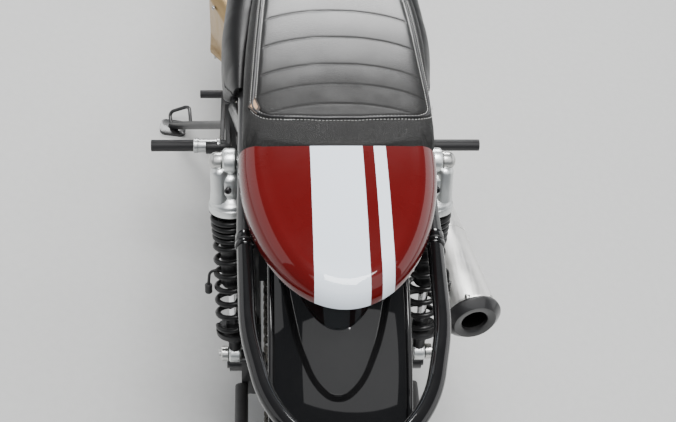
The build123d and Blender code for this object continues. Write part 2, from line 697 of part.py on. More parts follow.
def finned(width, depth, bottom, top, core_width, core_depth):
    """Stack of cooling fins round a core."""
    body = Pos(0, BARREL_Y, bottom) * extrude(RectangleRounded(core_width, core_depth, 26), top - bottom)
    count = int((top - bottom - FIN_THICKNESS) / FIN_PITCH) + 1
    fin = extrude(RectangleRounded(width, depth, 30), FIN_THICKNESS)
    for index in range(count):
        body = body + Pos(0, BARREL_Y, bottom + 2 + index * FIN_PITCH) * fin
    return body


def cylinders():
    """Finned twin-cylinder block."""
    return finned(236, 164, CASE_TOP + SEAT_GAP, BARREL_TOP, 206, 134)


def cylinder_head():
    """Finned head with its rounded rocker cover and inlet and exhaust stubs."""
    head = finned(240, 172, BARREL_TOP + SEAT_GAP, HEAD_TOP, 210, 140)
    cover = Pos(0, BARREL_Y, HEAD_TOP) * extrude(RectangleRounded(196, 118, 34), 30)
    cover = fillet(cover.faces().sort_by(Axis.Z)[-1].edges(), 14)
    port = rod((PORT_X, BARREL_Y + 60, PORT_Z), (PORT_X, BARREL_Y + PORT_REACH, PORT_Z), 26.0)
    inlet = rod((PORT_X - 4, BARREL_Y - 50, PORT_Z), (PORT_X - 4, BARREL_Y - PORT_REACH, PORT_Z), 24.0)
    return head + cover + both(port) + both(inlet)


def intakes():
    """Throttle bodies and their conical filters behind the head."""
    x = PORT_X - 4
    start = BARREL_Y - PORT_REACH - SEAT_GAP
    body = rod((x, start, PORT_Z), (x, start - 70, PORT_Z), 26.0)
    bowl = Pos(x, start - 34, PORT_Z - 36) * Cylinder(19.0, 40)
    filter_cone = cone((x, start - 68, PORT_Z), (x, start - 138, PORT_Z + 2), 30.0, 36.0)
    one = body + bowl + filter_cone
    return group(one, mirrored(one))


# Exhaust

def muffler_plane():
    """Plane at the muffler's outlet, its Z forwards along the muffler."""
    along = (-sin(radians(MUFFLER_SPLAY)), cos(radians(MUFFLER_SPLAY)), -sin(radians(MUFFLER_RISE)))
    return Plane(origin=MUFFLER_END, x_dir=(1, tan(radians(MUFFLER_SPLAY)), 0), z_dir=along)


def along_muffler(distance):
    """Point on the muffler's axis ahead of its outlet."""
    plane = muffler_plane()
    return tuple(plane.origin + plane.z_dir * distance)


def exhaust_headers():
    """Two header pipes under the engine into one, and the pipe to the muffler."""
    port_y = BARREL_Y + PORT_REACH + SEAT_GAP
    def header(side):
        return pipe([(PORT_X * side, port_y, PORT_Z), (PORT_X * side, port_y + 70, PORT_Z), (51 * side, 1006, 420),
                     (46 * side, 985, 150), (36 * side, 700, 150), (6, 610, 150)], HEADER_RADIUS, [56, 200, 90, 60])
    joint = along_muffler(MUFFLER_LENGTH + MUFFLER_CONE + SEAT_GAP)
    bend = along_muffler(MUFFLER_LENGTH + 98)
    tail = pipe([(-4, 625, 150), (60, 562, 146), (184, 452, 176), (198, 410, 330), bend, joint],
                TAILPIPE_RADIUS, [60, 60, 60, 34])
    return header(1) + header(-1) + tail


def muffler():
    """Muffler can with its entry cone, straps and an open outlet."""
    can = Pos(0, 0, END_CAP_LENGTH) * Cylinder(MUFFLER_RADIUS, MUFFLER_LENGTH - END_CAP_LENGTH, align=UP)
    inlet = Cone(MUFFLER_RADIUS - 1, TAILPIPE_RADIUS + 3, MUFFLER_CONE, align=UP)
    inlet = Pos(0, 0, MUFFLER_LENGTH) * inlet
    core_start = END_CAP_LENGTH - SEAT_GAP
    core = Pos(0, 0, core_start) * Cylinder(MUFFLER_CORE, MUFFLER_LENGTH * MUFFLER_CORE_SHARE, align=UP)
    return muffler_plane() * (can + inlet - core)


def muffler_end_cap():
    """Conical end cap round the outlet."""
    cap = Cone(END_CAP_LIP, END_CAP_RADIUS, END_CAP_LENGTH - SEAT_GAP, align=UP)
    outlet = Pos(0, 0, -1) * Cylinder(MUFFLER_BORE, END_CAP_LENGTH + 2, align=UP)
    return muffler_plane() * (cap - outlet)


# Tank, seat and tail

def tank_section(y, half_width, waist, bottom, top):
    """Tank section: flat floor, flared sides and a rounded top."""
    height = top - bottom
    points = [(-waist, bottom), (-half_width, bottom + height * 0.42), (-half_width * 0.62, top),
              (half_width * 0.62, top), (half_width, bottom + height * 0.42), (waist, bottom)]
    face = make_face(Polyline(*points, close=True))
    face = fillet(face.vertices(), height * 0.21)
    return Plane(origin=(0, y, 0), x_dir=(1, 0, 0), z_dir=(0, -1, 0)) * face


def fuel_tank():
    """Fuel tank with narrowed knee recesses and a tunnel over the backbone."""
    # columns: Y, half width, half width of the floor, floor, top
    stations = (
        (1078, 50, 42, 800, 900),
        (1030, 74, 64, 776, 928),
        (950, 126, 108, 758, 948),
        (860, 146, 128, 752, 946),
        (760, 134, 116, 752, 920),
        (680, 108, 94, 754, 876),
        (622, 92, 82, 757, 832),
    )
    tank = loft([tank_section(*station) for station in stations])
    tank = tank - Pos(0, CAP_Y, CAP_Z) * Cylinder(CAP_RADIUS + 2.5, 60, align=UP)
    tunnel = slab([(600, 700), (1100, 700), (1100, 856), (1000, 832), (860, 806), (600, 778)],
                  -TUNNEL_HALF, TUNNEL_HALF)
    return tank - tunnel


def fuel_cap():
    """Round filler cap on the tank's top."""
    base = Pos(0, CAP_Y, CAP_Z + SEAT_GAP) * Cylinder(CAP_RADIUS, 11, align=UP)
    lid = Pos(0, CAP_Y, CAP_Z + 11) * Cylinder(CAP_RADIUS - 6, 8, align=UP)
    return base + lid


def seat_section(y, half_width, bottom, top):
    """Seat section: flat pan side, soft edges and a level top."""
    height = top - bottom
    face = RectangleRounded(half_width * 2, height, height * 0.42)
    return Plane(origin=(0, y, (bottom + top) / 2), x_dir=(1, 0, 0), z_dir=(0, -1, 0)) * face


def tail_bow(inset):
    """Upright drum whose rim is the bowed line between the seat and the cowl, less an inset."""
    radius = (COWL_HALF_WIDTH ** 2 + COWL_FRONT_BOW ** 2) / (2 * COWL_FRONT_BOW)
    middle = SEAT_REAR_Y - COWL_FRONT_BOW + radius
    return Pos(0, middle, COWL_BASE_Z - 60) * Cylinder(radius - inset, 200, align=UP)


def seat_pad():
    """Upholstered seat."""
    bottom = SEAT_PAN_Z + SEAT_PAN_THICKNESS + SEAT_GAP
    # columns: Y, half width, top
    stations = ((SEAT_REAR_Y - COWL_FRONT_BOW, 134, 806), (180, 133, 800), (360, 126, 796), (500, 108, 804),
                (SEAT_FRONT_Y, 88, 822))
    pad = loft([seat_section(y, half, bottom, top) for y, half, top in stations])
    return pad & tail_bow(SEAT_GAP)


def seat_base():
    """Seat pan on the rails."""
    points = [(-122, SEAT_REAR_Y), (122, SEAT_REAR_Y), (118, 380), (96, 520), (78, SEAT_FRONT_Y - 4),
              (-78, SEAT_FRONT_Y - 4), (-96, 520), (-118, 380)]
    face = make_face(Polyline(*points, close=True))
    return Pos(0, 0, SEAT_PAN_Z) * extrude(face, SEAT_PAN_THICKNESS)


def tail_cowl():
    """Rounded tail cowl: half an ellipse in plan under a crowned, falling top with a soft shoulder."""
    depth = 70.0
    block = Pos(0, SEAT_REAR_Y, COWL_BASE_Z - depth) * extrude(Ellipse(COWL_HALF_WIDTH, COWL_LENGTH), depth + 90)
    reach = COWL_HALF_WIDTH + 20
    edge = COWL_DROP_RADIUS - COWL_CROWN_RADIUS + sqrt(COWL_CROWN_RADIUS ** 2 - reach ** 2)
    crown = ThreePointArc((-reach, edge), (0, COWL_DROP_RADIUS), (reach, edge))
    floor = Polyline((reach, edge), (reach, 500), (-reach, 500), (-reach, edge))
    drum = Pos(0, SEAT_REAR_Y, COWL_TOP_Z - COWL_DROP_RADIUS) * revolve(make_face(crown + floor), Axis.X, 360)
    cowl = block & drum
    cowl = fillet(cowl.edges().sort_by(Axis.Z)[-1], COWL_SHOULDER)
    keep = Pos(0, SEAT_REAR_Y - COWL_LENGTH, COWL_BASE_Z) * Box(
        COWL_HALF_WIDTH * 3, COWL_LENGTH * 2, 200, align=UP)
    return (cowl & keep) - tail_bow(0)


def fender_profile(radius, half_width, thickness, crown):
    """Arched strip with turned-down lips, drawn across the fender."""
    edge = radius - crown
    lip = edge - 14
    outer = ThreePointArc((-half_width, edge), (0, radius), (half_width, edge))
    inner_half = half_width - thickness
    inner = ThreePointArc((inner_half, edge - 1), (0, radius - thickness), (-inner_half, edge - 1))
    right = Polyline((half_width, edge), (half_width, lip), (inner_half, lip), (inner_half, edge - 1))
    left = Polyline((-inner_half, edge - 1), (-inner_half, lip), (-half_width, lip), (-half_width, edge))
    return make_face(outer + right + inner + left)


def fender(radius, half_width, thickness, crown, start, sweep_angle):
    """Fender arch about the X axis, from a start angle measured from +Y upwards."""
    arch = revolve(fender_profile(radius, half_width, thickness, crown), Axis.X, sweep_angle)
    return Rot(start, 0, 0) * arch


def rear_fender():
    """Deep rear fender with the tabs that hang it from the frame's cross tubes."""
    arch = at_rear_axle(fender(FENDER_RADIUS, FENDER_HALF_WIDTH, FENDER_THICKNESS, FENDER_CROWN, 66, 92))
    for y in (CROSS_FRONT_Y, CROSS_REAR_Y):
        top = REAR_AXLE_HEIGHT + sqrt(FENDER_RADIUS ** 2 - y ** 2)
        tab = slab([(y - 9, top - 4), (y + 9, top - 4), (y + 9, RAIL_Z), (y - 9, RAIL_Z)], -20, 20)
        arch = arch + (tab - at_rear_axle(across(-60, 60, 0, 0, FENDER_RADIUS - FENDER_THICKNESS)))
        arch = arch - across(-60, 60, y, RAIL_Z, RAIL_RADIUS + SEAT_GAP)
    return arch


def tail_light():
    """Round tail lamp on the fender."""
    angle = radians(LAMP_ANGLE)
    tilt = radians(LAMP_TILT)
    base = Vector(0, FENDER_RADIUS * cos(angle), REAR_AXLE_HEIGHT + FENDER_RADIUS * sin(angle))
    plane = Plane(origin=base, x_dir=(1, 0, 0), z_dir=(0, cos(tilt), sin(tilt)))
    shell = Pos(0, 0, 6) * Cylinder(LAMP_RADIUS, 30, align=UP)
    foot = Pos(0, 0, -12) * Cylinder(LAMP_RADIUS * 0.6, 20, align=UP)
    return plane * (shell + foot) - at_rear_axle(across(-100, 100, 0, 0, FENDER_RADIUS + SEAT_GAP))


def plate_holder():
    """Bracket and blank plate behind the fender's end, with the stays that carry them from the swingarm."""
    plate = Pos(0, PLATE_Y, PLATE_Z) * Box(PLATE_WIDTH, 3, PLATE_HEIGHT)
    bracket = slab([(-330, 472), (PLATE_Y + 1, 464), (PLATE_Y + 1, 436), (-345, 440)], -20, 20)
    bracket = bracket - at_rear_axle(across(-60, 60, 0, 0, FENDER_RADIUS + SEAT_GAP))
    stay = pipe([(STAY_X, STAY_START_Y, REAR_AXLE_HEIGHT), (STAY_X, -230, REAR_AXLE_HEIGHT),
                 (PLATE_WIDTH / 2 - 12, PLATE_Y + 6, PLATE_Z - 12)], STAY_RADIUS, 70)
    return plate + bracket + both(stay)


def side_covers():
    """Side panels under the seat."""
    panel = slab([(318, 600), (338, 700), (545, 700), (560, 600), (500, 560), (362, 566)],
                 COVER_INNER, COVER_INNER + COVER_DEPTH, 20)
    outer = panel.faces().sort_by(Axis.X)[-1]
    panel = fillet(outer.edges(), 9)
    for z in COVER_PEG_Z:
        share = (RAIL_Z - z) / (RAIL_Z - PIVOT_Z - 48)
        peg_y = 470 + 36 * share
        peg_x = RAIL_X - 10 + (PLATE_INNER + 13 - RAIL_X) * share
        panel = panel + across(peg_x + 3, COVER_INNER + 2, peg_y, z, 6)
    panel = panel - seat_post(TUBE_RADIUS - 2 + SEAT_GAP)
    return group(panel, mirrored(panel))


# Rider's controls on the frame

def rearset(side):
    """Plate, folding peg and pedal on one side."""
    inner = PLATE_INNER + PLATE_THICKNESS + SEAT_GAP
    outline = [(430, 350), (470, 345), (545, 420), (530, 445), (495, 440)]
    plate = slab(outline, inner, inner + 9, 6)
    boss = across(inner, 208, 454, PEG_Z, 13.0)
    peg = across(206, 310, PEG_Y, PEG_Z, PEG_RADIUS)
    lever = slab([(448, 352), (460, 352), (622, 350), (622, 362), (460, 378)], inner + 12, inner + 20, 3)
    tip = across(inner + 12, inner + 62, 616, 356, 8.0)
    whole = plate + boss + peg + lever + tip
    whole = whole - across(0, 400, PIVOT_Y, PIVOT_Z, AXLE_RADIUS + 6)
    return whole if side > 0 else mirrored(whole)


def rear_caliper():
    """Caliper over the rear disc, on a bracket from the axle."""
    reach = REAR_DISC_RADIUS
    block = slab([(reach - 42, -22), (reach + 16, -22), (reach + 16, 34), (reach - 42, 34)],
                 REAR_DISC_X - 20, REAR_DISC_X + 24, 8)
    slot = across(REAR_DISC_X - DISC_THICKNESS / 2 - FREE_GAP, REAR_DISC_X + DISC_THICKNESS / 2 + FREE_GAP,
                  0, 0, REAR_DISC_RADIUS + FREE_GAP)
    arm = slab([(16, -16), (reach, -16), (reach, 16), (16, 16)], REAR_DISC_X + 13, REAR_DISC_X + 23, 5)
    collar = across(REAR_DISC_X + 13, REAR_DISC_X + 23, 0, 0, 30)
    piece = (block - slot) + arm + collar - across(0, 200, 0, 0, 16 + SEAT_GAP)
    return at_rear_axle(Rot(38, 0, 0) * piece)


# Steering head and fork, drawn in the steering axis' frame

def triple_clamps():
    """Lower and upper clamps on the steering stem."""
    def clamp(start, height, hole):
        centre = Pos(0, 0, start) * Cylinder(30, height, align=UP)
        legs = Pos(FORK_X, FORK_OFFSET, start) * Cylinder(33, height, align=UP)
        web = Pos(0, FORK_OFFSET * 0.6, start) * extrude(RectangleRounded(FORK_X * 2, 44, 12), height)
        shape = centre + both(legs) + web
        cut = Pos(FORK_X, FORK_OFFSET, start - 5) * Cylinder(hole, height + 10, align=UP)
        return shape - both(cut)
    lower = clamp(LOWER_CLAMP_S, LOWER_CLAMP_HEIGHT, STANCHION_RADIUS + SEAT_GAP)
    upper = clamp(UPPER_CLAMP_S, UPPER_CLAMP_HEIGHT, STANCHION_RADIUS + SEAT_GAP)
    stem = Pos(0, 0, LOWER_CLAMP_S) * Cylinder(17, UPPER_CLAMP_S + UPPER_CLAMP_HEIGHT + 12 - LOWER_CLAMP_S, align=UP)
    return fork_frame() * (lower + upper + stem)


def fork_tubes():
    """Two stanchions."""
    tube = Pos(FORK_X, FORK_OFFSET, LOWER_LEG_TOP - 30) * Cylinder(
        STANCHION_RADIUS, FORK_TOP_S - LOWER_LEG_TOP + 30, align=UP)
    return fork_frame() * group(tube, mirrored(tube))


def fork_lowers():
    """Two lower legs with dust-seal collars, caliper lugs and the front axle between them."""
    leg = Pos(FORK_X, FORK_OFFSET, AXLE_S - 26) * Cylinder(LOWER_LEG_RADIUS, LOWER_LEG_TOP - AXLE_S + 26, align=UP)
    collar = Pos(FORK_X, FORK_OFFSET, LOWER_LEG_TOP - 26) * Cylinder(LOWER_LEG_RADIUS + 3, 26, align=UP)
    lug = Pos(FORK_X, FORK_OFFSET - 34, AXLE_S + 128) * Box(22, 46, 92)
    socket = Pos(FORK_X, FORK_OFFSET, LOWER_LEG_TOP - 34) * Cylinder(STANCHION_RADIUS + SEAT_GAP, 60, align=UP)
    axle = Pos(0, FORK_OFFSET, AXLE_S) * across(-FORK_X - 10, FORK_X + 10, 0, 0, AXLE_RADIUS)
    axle_end = Pos(0, FORK_OFFSET, AXLE_S) * across(FORK_X + LOWER_LEG_RADIUS - 6, FORK_X + LOWER_LEG_RADIUS + 7, 0, 0, 14)
    spacer = Pos(0, FORK_OFFSET, AXLE_S) * across(
        FRONT_DISC_X + DISC_THICKNESS / 2 + RUN_GAP, FORK_X - LOWER_LEG_RADIUS + 3, 0, 0, 15)
    whole = both(leg + collar + lug + axle_end + spacer) + axle
    return fork_frame() * (whole - both(socket))


def bar_plane(side):
    """Plane at a bar's root on its clamp, its Z outwards along the bar."""
    sweep_back = radians(BAR_SWEEP)
    droop = radians(BAR_DROOP)
    centre_s = BAR_CLAMP_S + BAR_CLAMP_HEIGHT / 2 + BAR_RISE
    along = Vector(cos(sweep_back) * cos(droop), -sin(sweep_back) * cos(droop), -sin(droop))
    root = Vector(FORK_X, FORK_OFFSET, centre_s) + along * (STANCHION_RADIUS + 6)
    if side < 0:
        root = Vector(-root.X, root.Y, root.Z)
        along = Vector(-along.X, along.Y, along.Z)
    return Plane(origin=root, x_dir=(0, 0, 1), z_dir=along)


def clip_ons():
    """Two clip-on handlebars on the fork tubes above the upper clamp."""
    ring = Pos(FORK_X, FORK_OFFSET, BAR_CLAMP_S) * Cylinder(STANCHION_RADIUS + 9, BAR_CLAMP_HEIGHT, align=UP)
    bar = bar_plane(1) * Cylinder(BAR_RADIUS, BAR_LENGTH, align=UP)
    hole = Pos(FORK_X, FORK_OFFSET, BAR_CLAMP_S - 5) * Cylinder(STANCHION_RADIUS + SEAT_GAP, BAR_CLAMP_HEIGHT + 10, align=UP)
    one = ring + bar - hole
    return fork_frame() * group(one, mirrored(one))


def grips():
    """Two rubber grips with end flanges."""
    start = BAR_LENGTH - GRIP_LENGTH
    one = Pos(0, 0, start) * Cylinder(GRIP_RADIUS, GRIP_LENGTH, align=UP)
    one = one + Pos(0, 0, start) * Cylinder(GRIP_RADIUS + 4, 5, align=UP)
    one = one - Pos(0, 0, start - 1) * Cylinder(BAR_RADIUS + SEAT_GAP, GRIP_LENGTH + 2, align=UP)
    shape = bar_plane(1) * one
    return fork_frame() * group(shape, mirrored(shape))


def bar_controls():
    """Switch housings and brake and clutch levers inboard of the grips."""
    start = BAR_LENGTH - GRIP_LENGTH
    pod = Pos(0, 0, start - 44) * Cylinder(20, 42, align=UP)
    perch = Pos(0, 0, start - 66) * Cylinder(17, 24, align=UP)
    arm = Pos(0, -26, start - 56) * Box(14, 40, 14)
    bar_side = pod + perch + arm - Pos(0, 0, start - 80) * Cylinder(BAR_RADIUS + SEAT_GAP, 90, align=UP)
    lever = rod((0, -44, start - 60), (0, -62, start + 30), 5.5) + rod((0, -62, start + 28), (0, -58, start + 106), 5.0)
    one = bar_side + lever
    shape = bar_plane(1) * one
    return fork_frame() * group(shape, mirrored(shape))


def bar_end_mirrors():
    """Round mirrors on stalks at the bar ends."""
    plug = Pos(0, 0, BAR_LENGTH + SEAT_GAP) * Cylinder(12, 16, align=UP)
    stalk = rod((0, 0, BAR_LENGTH + 9), (52, -6, BAR_LENGTH + 30), 4.5)
    head = Pos(92, -10, BAR_LENGTH + 34) * Rot(90, 0, 0) * Cylinder(42, 12)
    shape = bar_plane(1) * (plug + stalk + head)
    return fork_frame() * group(shape, mirrored(shape))


HEADLIGHT_S = LOWER_CLAMP_S + 84.0
HEADLIGHT_Y = FORK_OFFSET + 42.0
HEADLIGHT_RADIUS = 88.0
HEADLIGHT_DEPTH = 98.0


def headlight_place():
    """Place of the headlight's rear, which points forwards and level."""
    return Pos(*steering_point(0, HEADLIGHT_Y, HEADLIGHT_S))


def headlight():
    """Round headlight shell with its rim, and the ears that hold it to the fork tubes."""
    radius = HEADLIGHT_RADIUS
    depth = HEADLIGHT_DEPTH
    back = ThreePointArc((0, 0), (radius * 0.74, 28), (radius, depth - 14))
    front = Polyline((radius, depth - 14), (radius + 5, depth - 14), (radius + 5, depth), (radius - 3, depth),
                     (radius - 3, depth - 8), (0, depth - 8), (0, 0))
    bowl = headlight_place() * revolve(make_face(back + front), Axis.Y, 360)
    ring = Pos(FORK_X, FORK_OFFSET, HEADLIGHT_S - 20) * Cylinder(STANCHION_RADIUS + 5, 40, align=UP)
    arm = Pos(radius + 8.5, (FORK_OFFSET + HEADLIGHT_Y + 62) / 2, HEADLIGHT_S - 10) * Box(
        5, HEADLIGHT_Y + 52 - FORK_OFFSET, 30)
    bolt = Pos(0, HEADLIGHT_Y + 62, HEADLIGHT_S - 14) * across(radius - 12, radius + 11, 0, 0, 7)
    ear = ring + arm + bolt
    ear = ear - Pos(FORK_X, FORK_OFFSET, HEADLIGHT_S - 30) * Cylinder(STANCHION_RADIUS + SEAT_GAP, 60, align=UP)
    return bowl + fork_frame() * both(ear)


def headlight_lens():
    """Domed headlight glass."""
    radius = HEADLIGHT_RADIUS - 3 - SEAT_GAP
    start = HEADLIGHT_DEPTH - 8 + SEAT_GAP
    edge = HEADLIGHT_DEPTH + 1
    rise = 15.0
    ball = (radius ** 2 + rise ** 2) / (2 * rise)
    blank = Pos(0, start, 0) * Rot(-90, 0, 0) * Cylinder(radius, edge + rise - start, align=UP)
    return headlight_place() * (blank & Pos(0, edge + rise - ball, 0) * Sphere(ball))


def gauges():
    """Two round gauges on a bracket before the upper clamp."""
    dial = Pos(46, FORK_OFFSET + 60, UPPER_CLAMP_S + 7) * Rot(-18, 0, 0) * Cylinder(39, 48, align=UP)
    plate = Pos(0, FORK_OFFSET + 48, UPPER_CLAMP_S + 8) * Box(110, 40, 5)
    stay = Pos(0, FORK_OFFSET + 32, UPPER_CLAMP_S + 8) * Box(40, 50, 5)
    return fork_frame() * (both(dial) + plate + stay - both(upper_clamp_cut()))


def upper_clamp_cut():
    """Space of the upper clamp, which the gauge bracket seats against."""
    return Pos(0, FORK_OFFSET * 0.6, UPPER_CLAMP_S - 1) * Box(FORK_X * 2 + 80, 44 + 2 * SEAT_GAP, UPPER_CLAMP_HEIGHT + 2)


def front_fender():
    """Short front fender with its stays to the lower legs."""
    arch = at_front_axle(fender(318, 66, 3, 16, 62, 98))
    stay = Pos((64 + FORK_X - LOWER_LEG_RADIUS - SEAT_GAP) / 2, FORK_OFFSET, AXLE_S + 296) * Box(
        FORK_X - LOWER_LEG_RADIUS - SEAT_GAP - 64, 44, 30)
    return arch + fork_frame() * both(stay)


def front_calipers():
    """Two calipers behind the lower legs."""
    inner = FRONT_DISC_X - 24
    outer = FORK_X - 11 - SEAT_GAP
    block = Pos((inner + outer) / 2, FORK_OFFSET - 54, AXLE_S + 128) * Box(outer - inner, 44, 86)
    block = fillet(block.edges().filter_by(Axis.Z), 8)
    slot = Pos(0, FORK_OFFSET, AXLE_S) * across(
        FRONT_DISC_X - DISC_THICKNESS / 2 - FREE_GAP, FRONT_DISC_X + DISC_THICKNESS / 2 + FREE_GAP,
        0, 0, FRONT_DISC_RADIUS + FREE_GAP)
    one = block - slot
    return fork_frame() * group(one, mirrored(one))


# Side stand

def stand_foot():
    """Middle of the stand's foot on the ground."""
    lean = radians(LEAN)
    return Vector(STAND_FOOT_X * cos(lean), STAND_FOOT_Y, -STAND_FOOT_X * sin(lean))


def stand_axis():
    """Direction of the stand's hinge, square to its leg both down and folded."""
    leg = (stand_foot() - Vector(*STAND_PIVOT)).normalized()
    return leg.cross(Vector(*STAND_FOLDED)).normalized()


def stand_bracket():
    """Boss and pin on the left cradle tube for the side stand."""
    pivot = Vector(*STAND_PIVOT)
    axis = stand_axis()
    near = STAND_EYE_HALF + RUN_GAP
    boss = rod(pivot - axis * (near + 9), pivot - axis * near, 16)
    pin = rod(pivot - axis * (near + 5), pivot + axis * (near + 5), STAND_PIN_RADIUS)
    head = rod(pivot + axis * near, pivot + axis * (near + 7), 12)
    web = rod(pivot - axis * (near + 5), (-CRADLE_X - 13, STAND_PIVOT[1], CRADLE_Z), 8)
    return boss + pin + head + web


def side_stand():
    """Side stand: eye, leg, foot flat on the ground and the wire tang."""
    pivot = Vector(*STAND_PIVOT)
    axis = stand_axis()
    foot = stand_foot()
    eye = rod(pivot - axis * STAND_EYE_HALF, pivot + axis * STAND_EYE_HALF, 16)
    ankle = foot + (GROUND * Pos(0, 0, STAND_FOOT_THICKNESS + 4)).position
    leg = rod(pivot, ankle, STAND_LEG_RADIUS)
    pad = GROUND * Pos(STAND_FOOT_X, STAND_FOOT_Y, 0) * extrude(
        RectangleRounded(58, 46, 14), STAND_FOOT_THICKNESS)
    along = ankle - pivot
    start = pivot + along * 0.72
    tang = pipe([tuple(start), tuple(start + Vector(-6, 62, 2)), tuple(start + Vector(-52, 66, -20)),
                 tuple(ankle + Vector(-4, 0, 2))], 4.0, [14, 12])
    whole = eye + leg + pad + tang
    return whole - rod(pivot - axis * 30, pivot + axis * 30, STAND_PIN_RADIUS + SEAT_GAP)


def build_all():
    """Every node of the machine by name."""
    return {
        "frame": frame(),
        "rear_loop": rear_loop(),
        "swingarm": swingarm(),
        "shock_bodies": group(shock_body(1), shock_body(-1)),
        "shock_springs": group(shock_spring(1), shock_spring(-1)),
        "crankcase": crankcase(),
        "cylinders": cylinders(),
        "cylinder_head": cylinder_head(),
        "clutch_cover": clutch_cover(),
        "left_covers": left_covers(),
        "intakes": intakes(),
        "exhaust_headers": exhaust_headers(),
        "muffler": muffler(),
        "muffler_end_cap": muffler_end_cap(),
        "chain": chain(),
        "chain_guard": chain_guard(),
        "fuel_tank": fuel_tank(),
        "fuel_cap": fuel_cap(),
        "seat_pad": seat_pad(),
        "seat_base": seat_base(),
        "tail_cowl": tail_cowl(),
        "rear_fender": rear_fender(),
        "tail_light": tail_light(),
        "plate_holder": plate_holder(),
        "side_covers": side_covers(),
        "rearset_left": rearset(-1),
        "rearset_right": rearset(1),
        "rear_caliper": rear_caliper(),
        "rear_tyre": at_rear_axle(tyre(REAR_TYRE_RADIUS, REAR_TYRE_WIDTH, REAR_CROWN, REAR_BEAD)),
        "rear_rim": at_rear_axle(rim(REAR_BEAD)),
        "rear_hub": at_rear_axle(wire_hub(REAR_HUB_HALF, REAR_BEAD)),
        "rear_sprocket": at_rear_axle(rear_sprocket()),
        "rear_disc": at_rear_axle(rear_disc()),
        "front_tyre": at_front_axle(tyre(FRONT_TYRE_RADIUS, FRONT_TYRE_WIDTH, FRONT_CROWN, FRONT_BEAD)),
        "front_rim": at_front_axle(rim(FRONT_BEAD)),
        "front_hub": at_front_axle(wire_hub(FRONT_HUB_HALF, FRONT_BEAD)),
        "front_discs": at_front_axle(front_discs()),
        "triple_clamps": triple_clamps(),
        "fork_tubes": fork_tubes(),
        "fork_lowers": fork_lowers(),
        "clip_ons": clip_ons(),
        "grips": grips(),
        "bar_controls": bar_controls(),
        "bar_end_mirrors": bar_end_mirrors(),
        "headlight": headlight(),
        "headlight_lens": headlight_lens(),
        "gauges": gauges(),
        "front_fender": front_fender(),
        "front_calipers": front_calipers(),
        "side_stand": side_stand(),
    }


for name, shape in build_all().items():
    export_step(PARKED * shape, f"parts/{name}.step")
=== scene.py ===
"""Cafe racer motorcycle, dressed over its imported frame.

Meshes are drawn in millimetres on the upright machine: X to its right, Y forwards, Z up, the rear
axle at Y 0 and the ground at Z 0. Forge turns each one to the parked lean and to metres.
"""
import logging
from dataclasses import dataclass, field
from enum import Enum
from math import atan2, ceil, cos, exp, pi, radians, sin, sqrt

import bmesh
import bpy
from mathutils import Matrix, Vector
from mathutils.bvhtree import BVHTree


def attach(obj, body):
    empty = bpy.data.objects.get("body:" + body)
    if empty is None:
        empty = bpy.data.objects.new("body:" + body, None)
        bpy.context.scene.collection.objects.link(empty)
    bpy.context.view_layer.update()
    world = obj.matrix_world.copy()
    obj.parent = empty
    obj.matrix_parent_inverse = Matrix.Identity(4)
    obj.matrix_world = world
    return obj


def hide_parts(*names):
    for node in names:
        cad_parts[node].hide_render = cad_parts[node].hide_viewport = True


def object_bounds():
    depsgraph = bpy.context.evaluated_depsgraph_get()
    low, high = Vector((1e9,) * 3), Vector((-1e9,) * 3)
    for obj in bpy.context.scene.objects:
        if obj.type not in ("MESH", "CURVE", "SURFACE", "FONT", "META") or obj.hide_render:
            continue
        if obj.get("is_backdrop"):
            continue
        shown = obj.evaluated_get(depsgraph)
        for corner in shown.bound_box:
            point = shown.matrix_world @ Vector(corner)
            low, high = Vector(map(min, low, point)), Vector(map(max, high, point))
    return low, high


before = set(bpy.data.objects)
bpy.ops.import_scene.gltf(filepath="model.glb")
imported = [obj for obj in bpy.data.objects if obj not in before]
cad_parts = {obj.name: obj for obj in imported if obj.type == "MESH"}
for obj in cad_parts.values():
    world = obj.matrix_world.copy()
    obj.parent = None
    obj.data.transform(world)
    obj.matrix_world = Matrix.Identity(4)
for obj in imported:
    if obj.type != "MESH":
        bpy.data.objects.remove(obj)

log = logging.getLogger("cafe_racer")

Triple = tuple[float, float, float]
Table = tuple[tuple[float, ...], ...]
Profile = list[tuple[float, float]]

LEAN = radians(10.0)
PARKED_SHIFT = Vector((161.0, -638.5, 0.0))
PARKED = (Matrix.Diagonal((0.001, 0.001, 0.001, 1.0)) @ Matrix.Translation(PARKED_SHIFT)
          @ Matrix.Rotation(-LEAN, 4, "Y"))
RAKE = radians(23.5)
WHEELBASE = 1415.0
TRAIL = 95.0
REAR_AXLE = Vector((0.0, 0.0, 312.0 + 82.0 * (1 / cos(LEAN) - 1)))
FRONT_AXLE = Vector((0.0, WHEELBASE, 300.0 + 62.0 * (1 / cos(LEAN) - 1)))
AXIS_X = Vector((1.0, 0.0, 0.0))
AXIS_Y = Vector((0.0, 1.0, 0.0))
AXIS_Z = Vector((0.0, 0.0, 1.0))
MERGE = 0.001  # distance under which points are joined, in millimetres
THIN = 0.01  # least radius of a turned ring, in millimetres
FASTENER_SHARP = 35.0


class Body(Enum):
    """Moving bodies of the machine."""

    CHASSIS = "chassis"
    FORK = "fork"
    REAR_WHEEL = "rear_wheel"
    FRONT_WHEEL = "front_wheel"
    STAND = "side_stand"


class Side(Enum):
    """Sides of the machine, as the sign of X."""

    RIGHT = 1
    LEFT = -1


def fork_point(x: float, y: float, s: float) -> Vector:
    """Turn a place in the steering axis' frame to the upright machine.

    Args:
        x: Distance to the right of the steering axis.
        y: Distance ahead of the steering axis.
        s: Distance up the steering axis from the ground.

    Returns:
        The point in millimetres.
    """
    return Vector((x, WHEELBASE + TRAIL - s * sin(RAKE) + y * cos(RAKE), s * cos(RAKE) + y * sin(RAKE)))


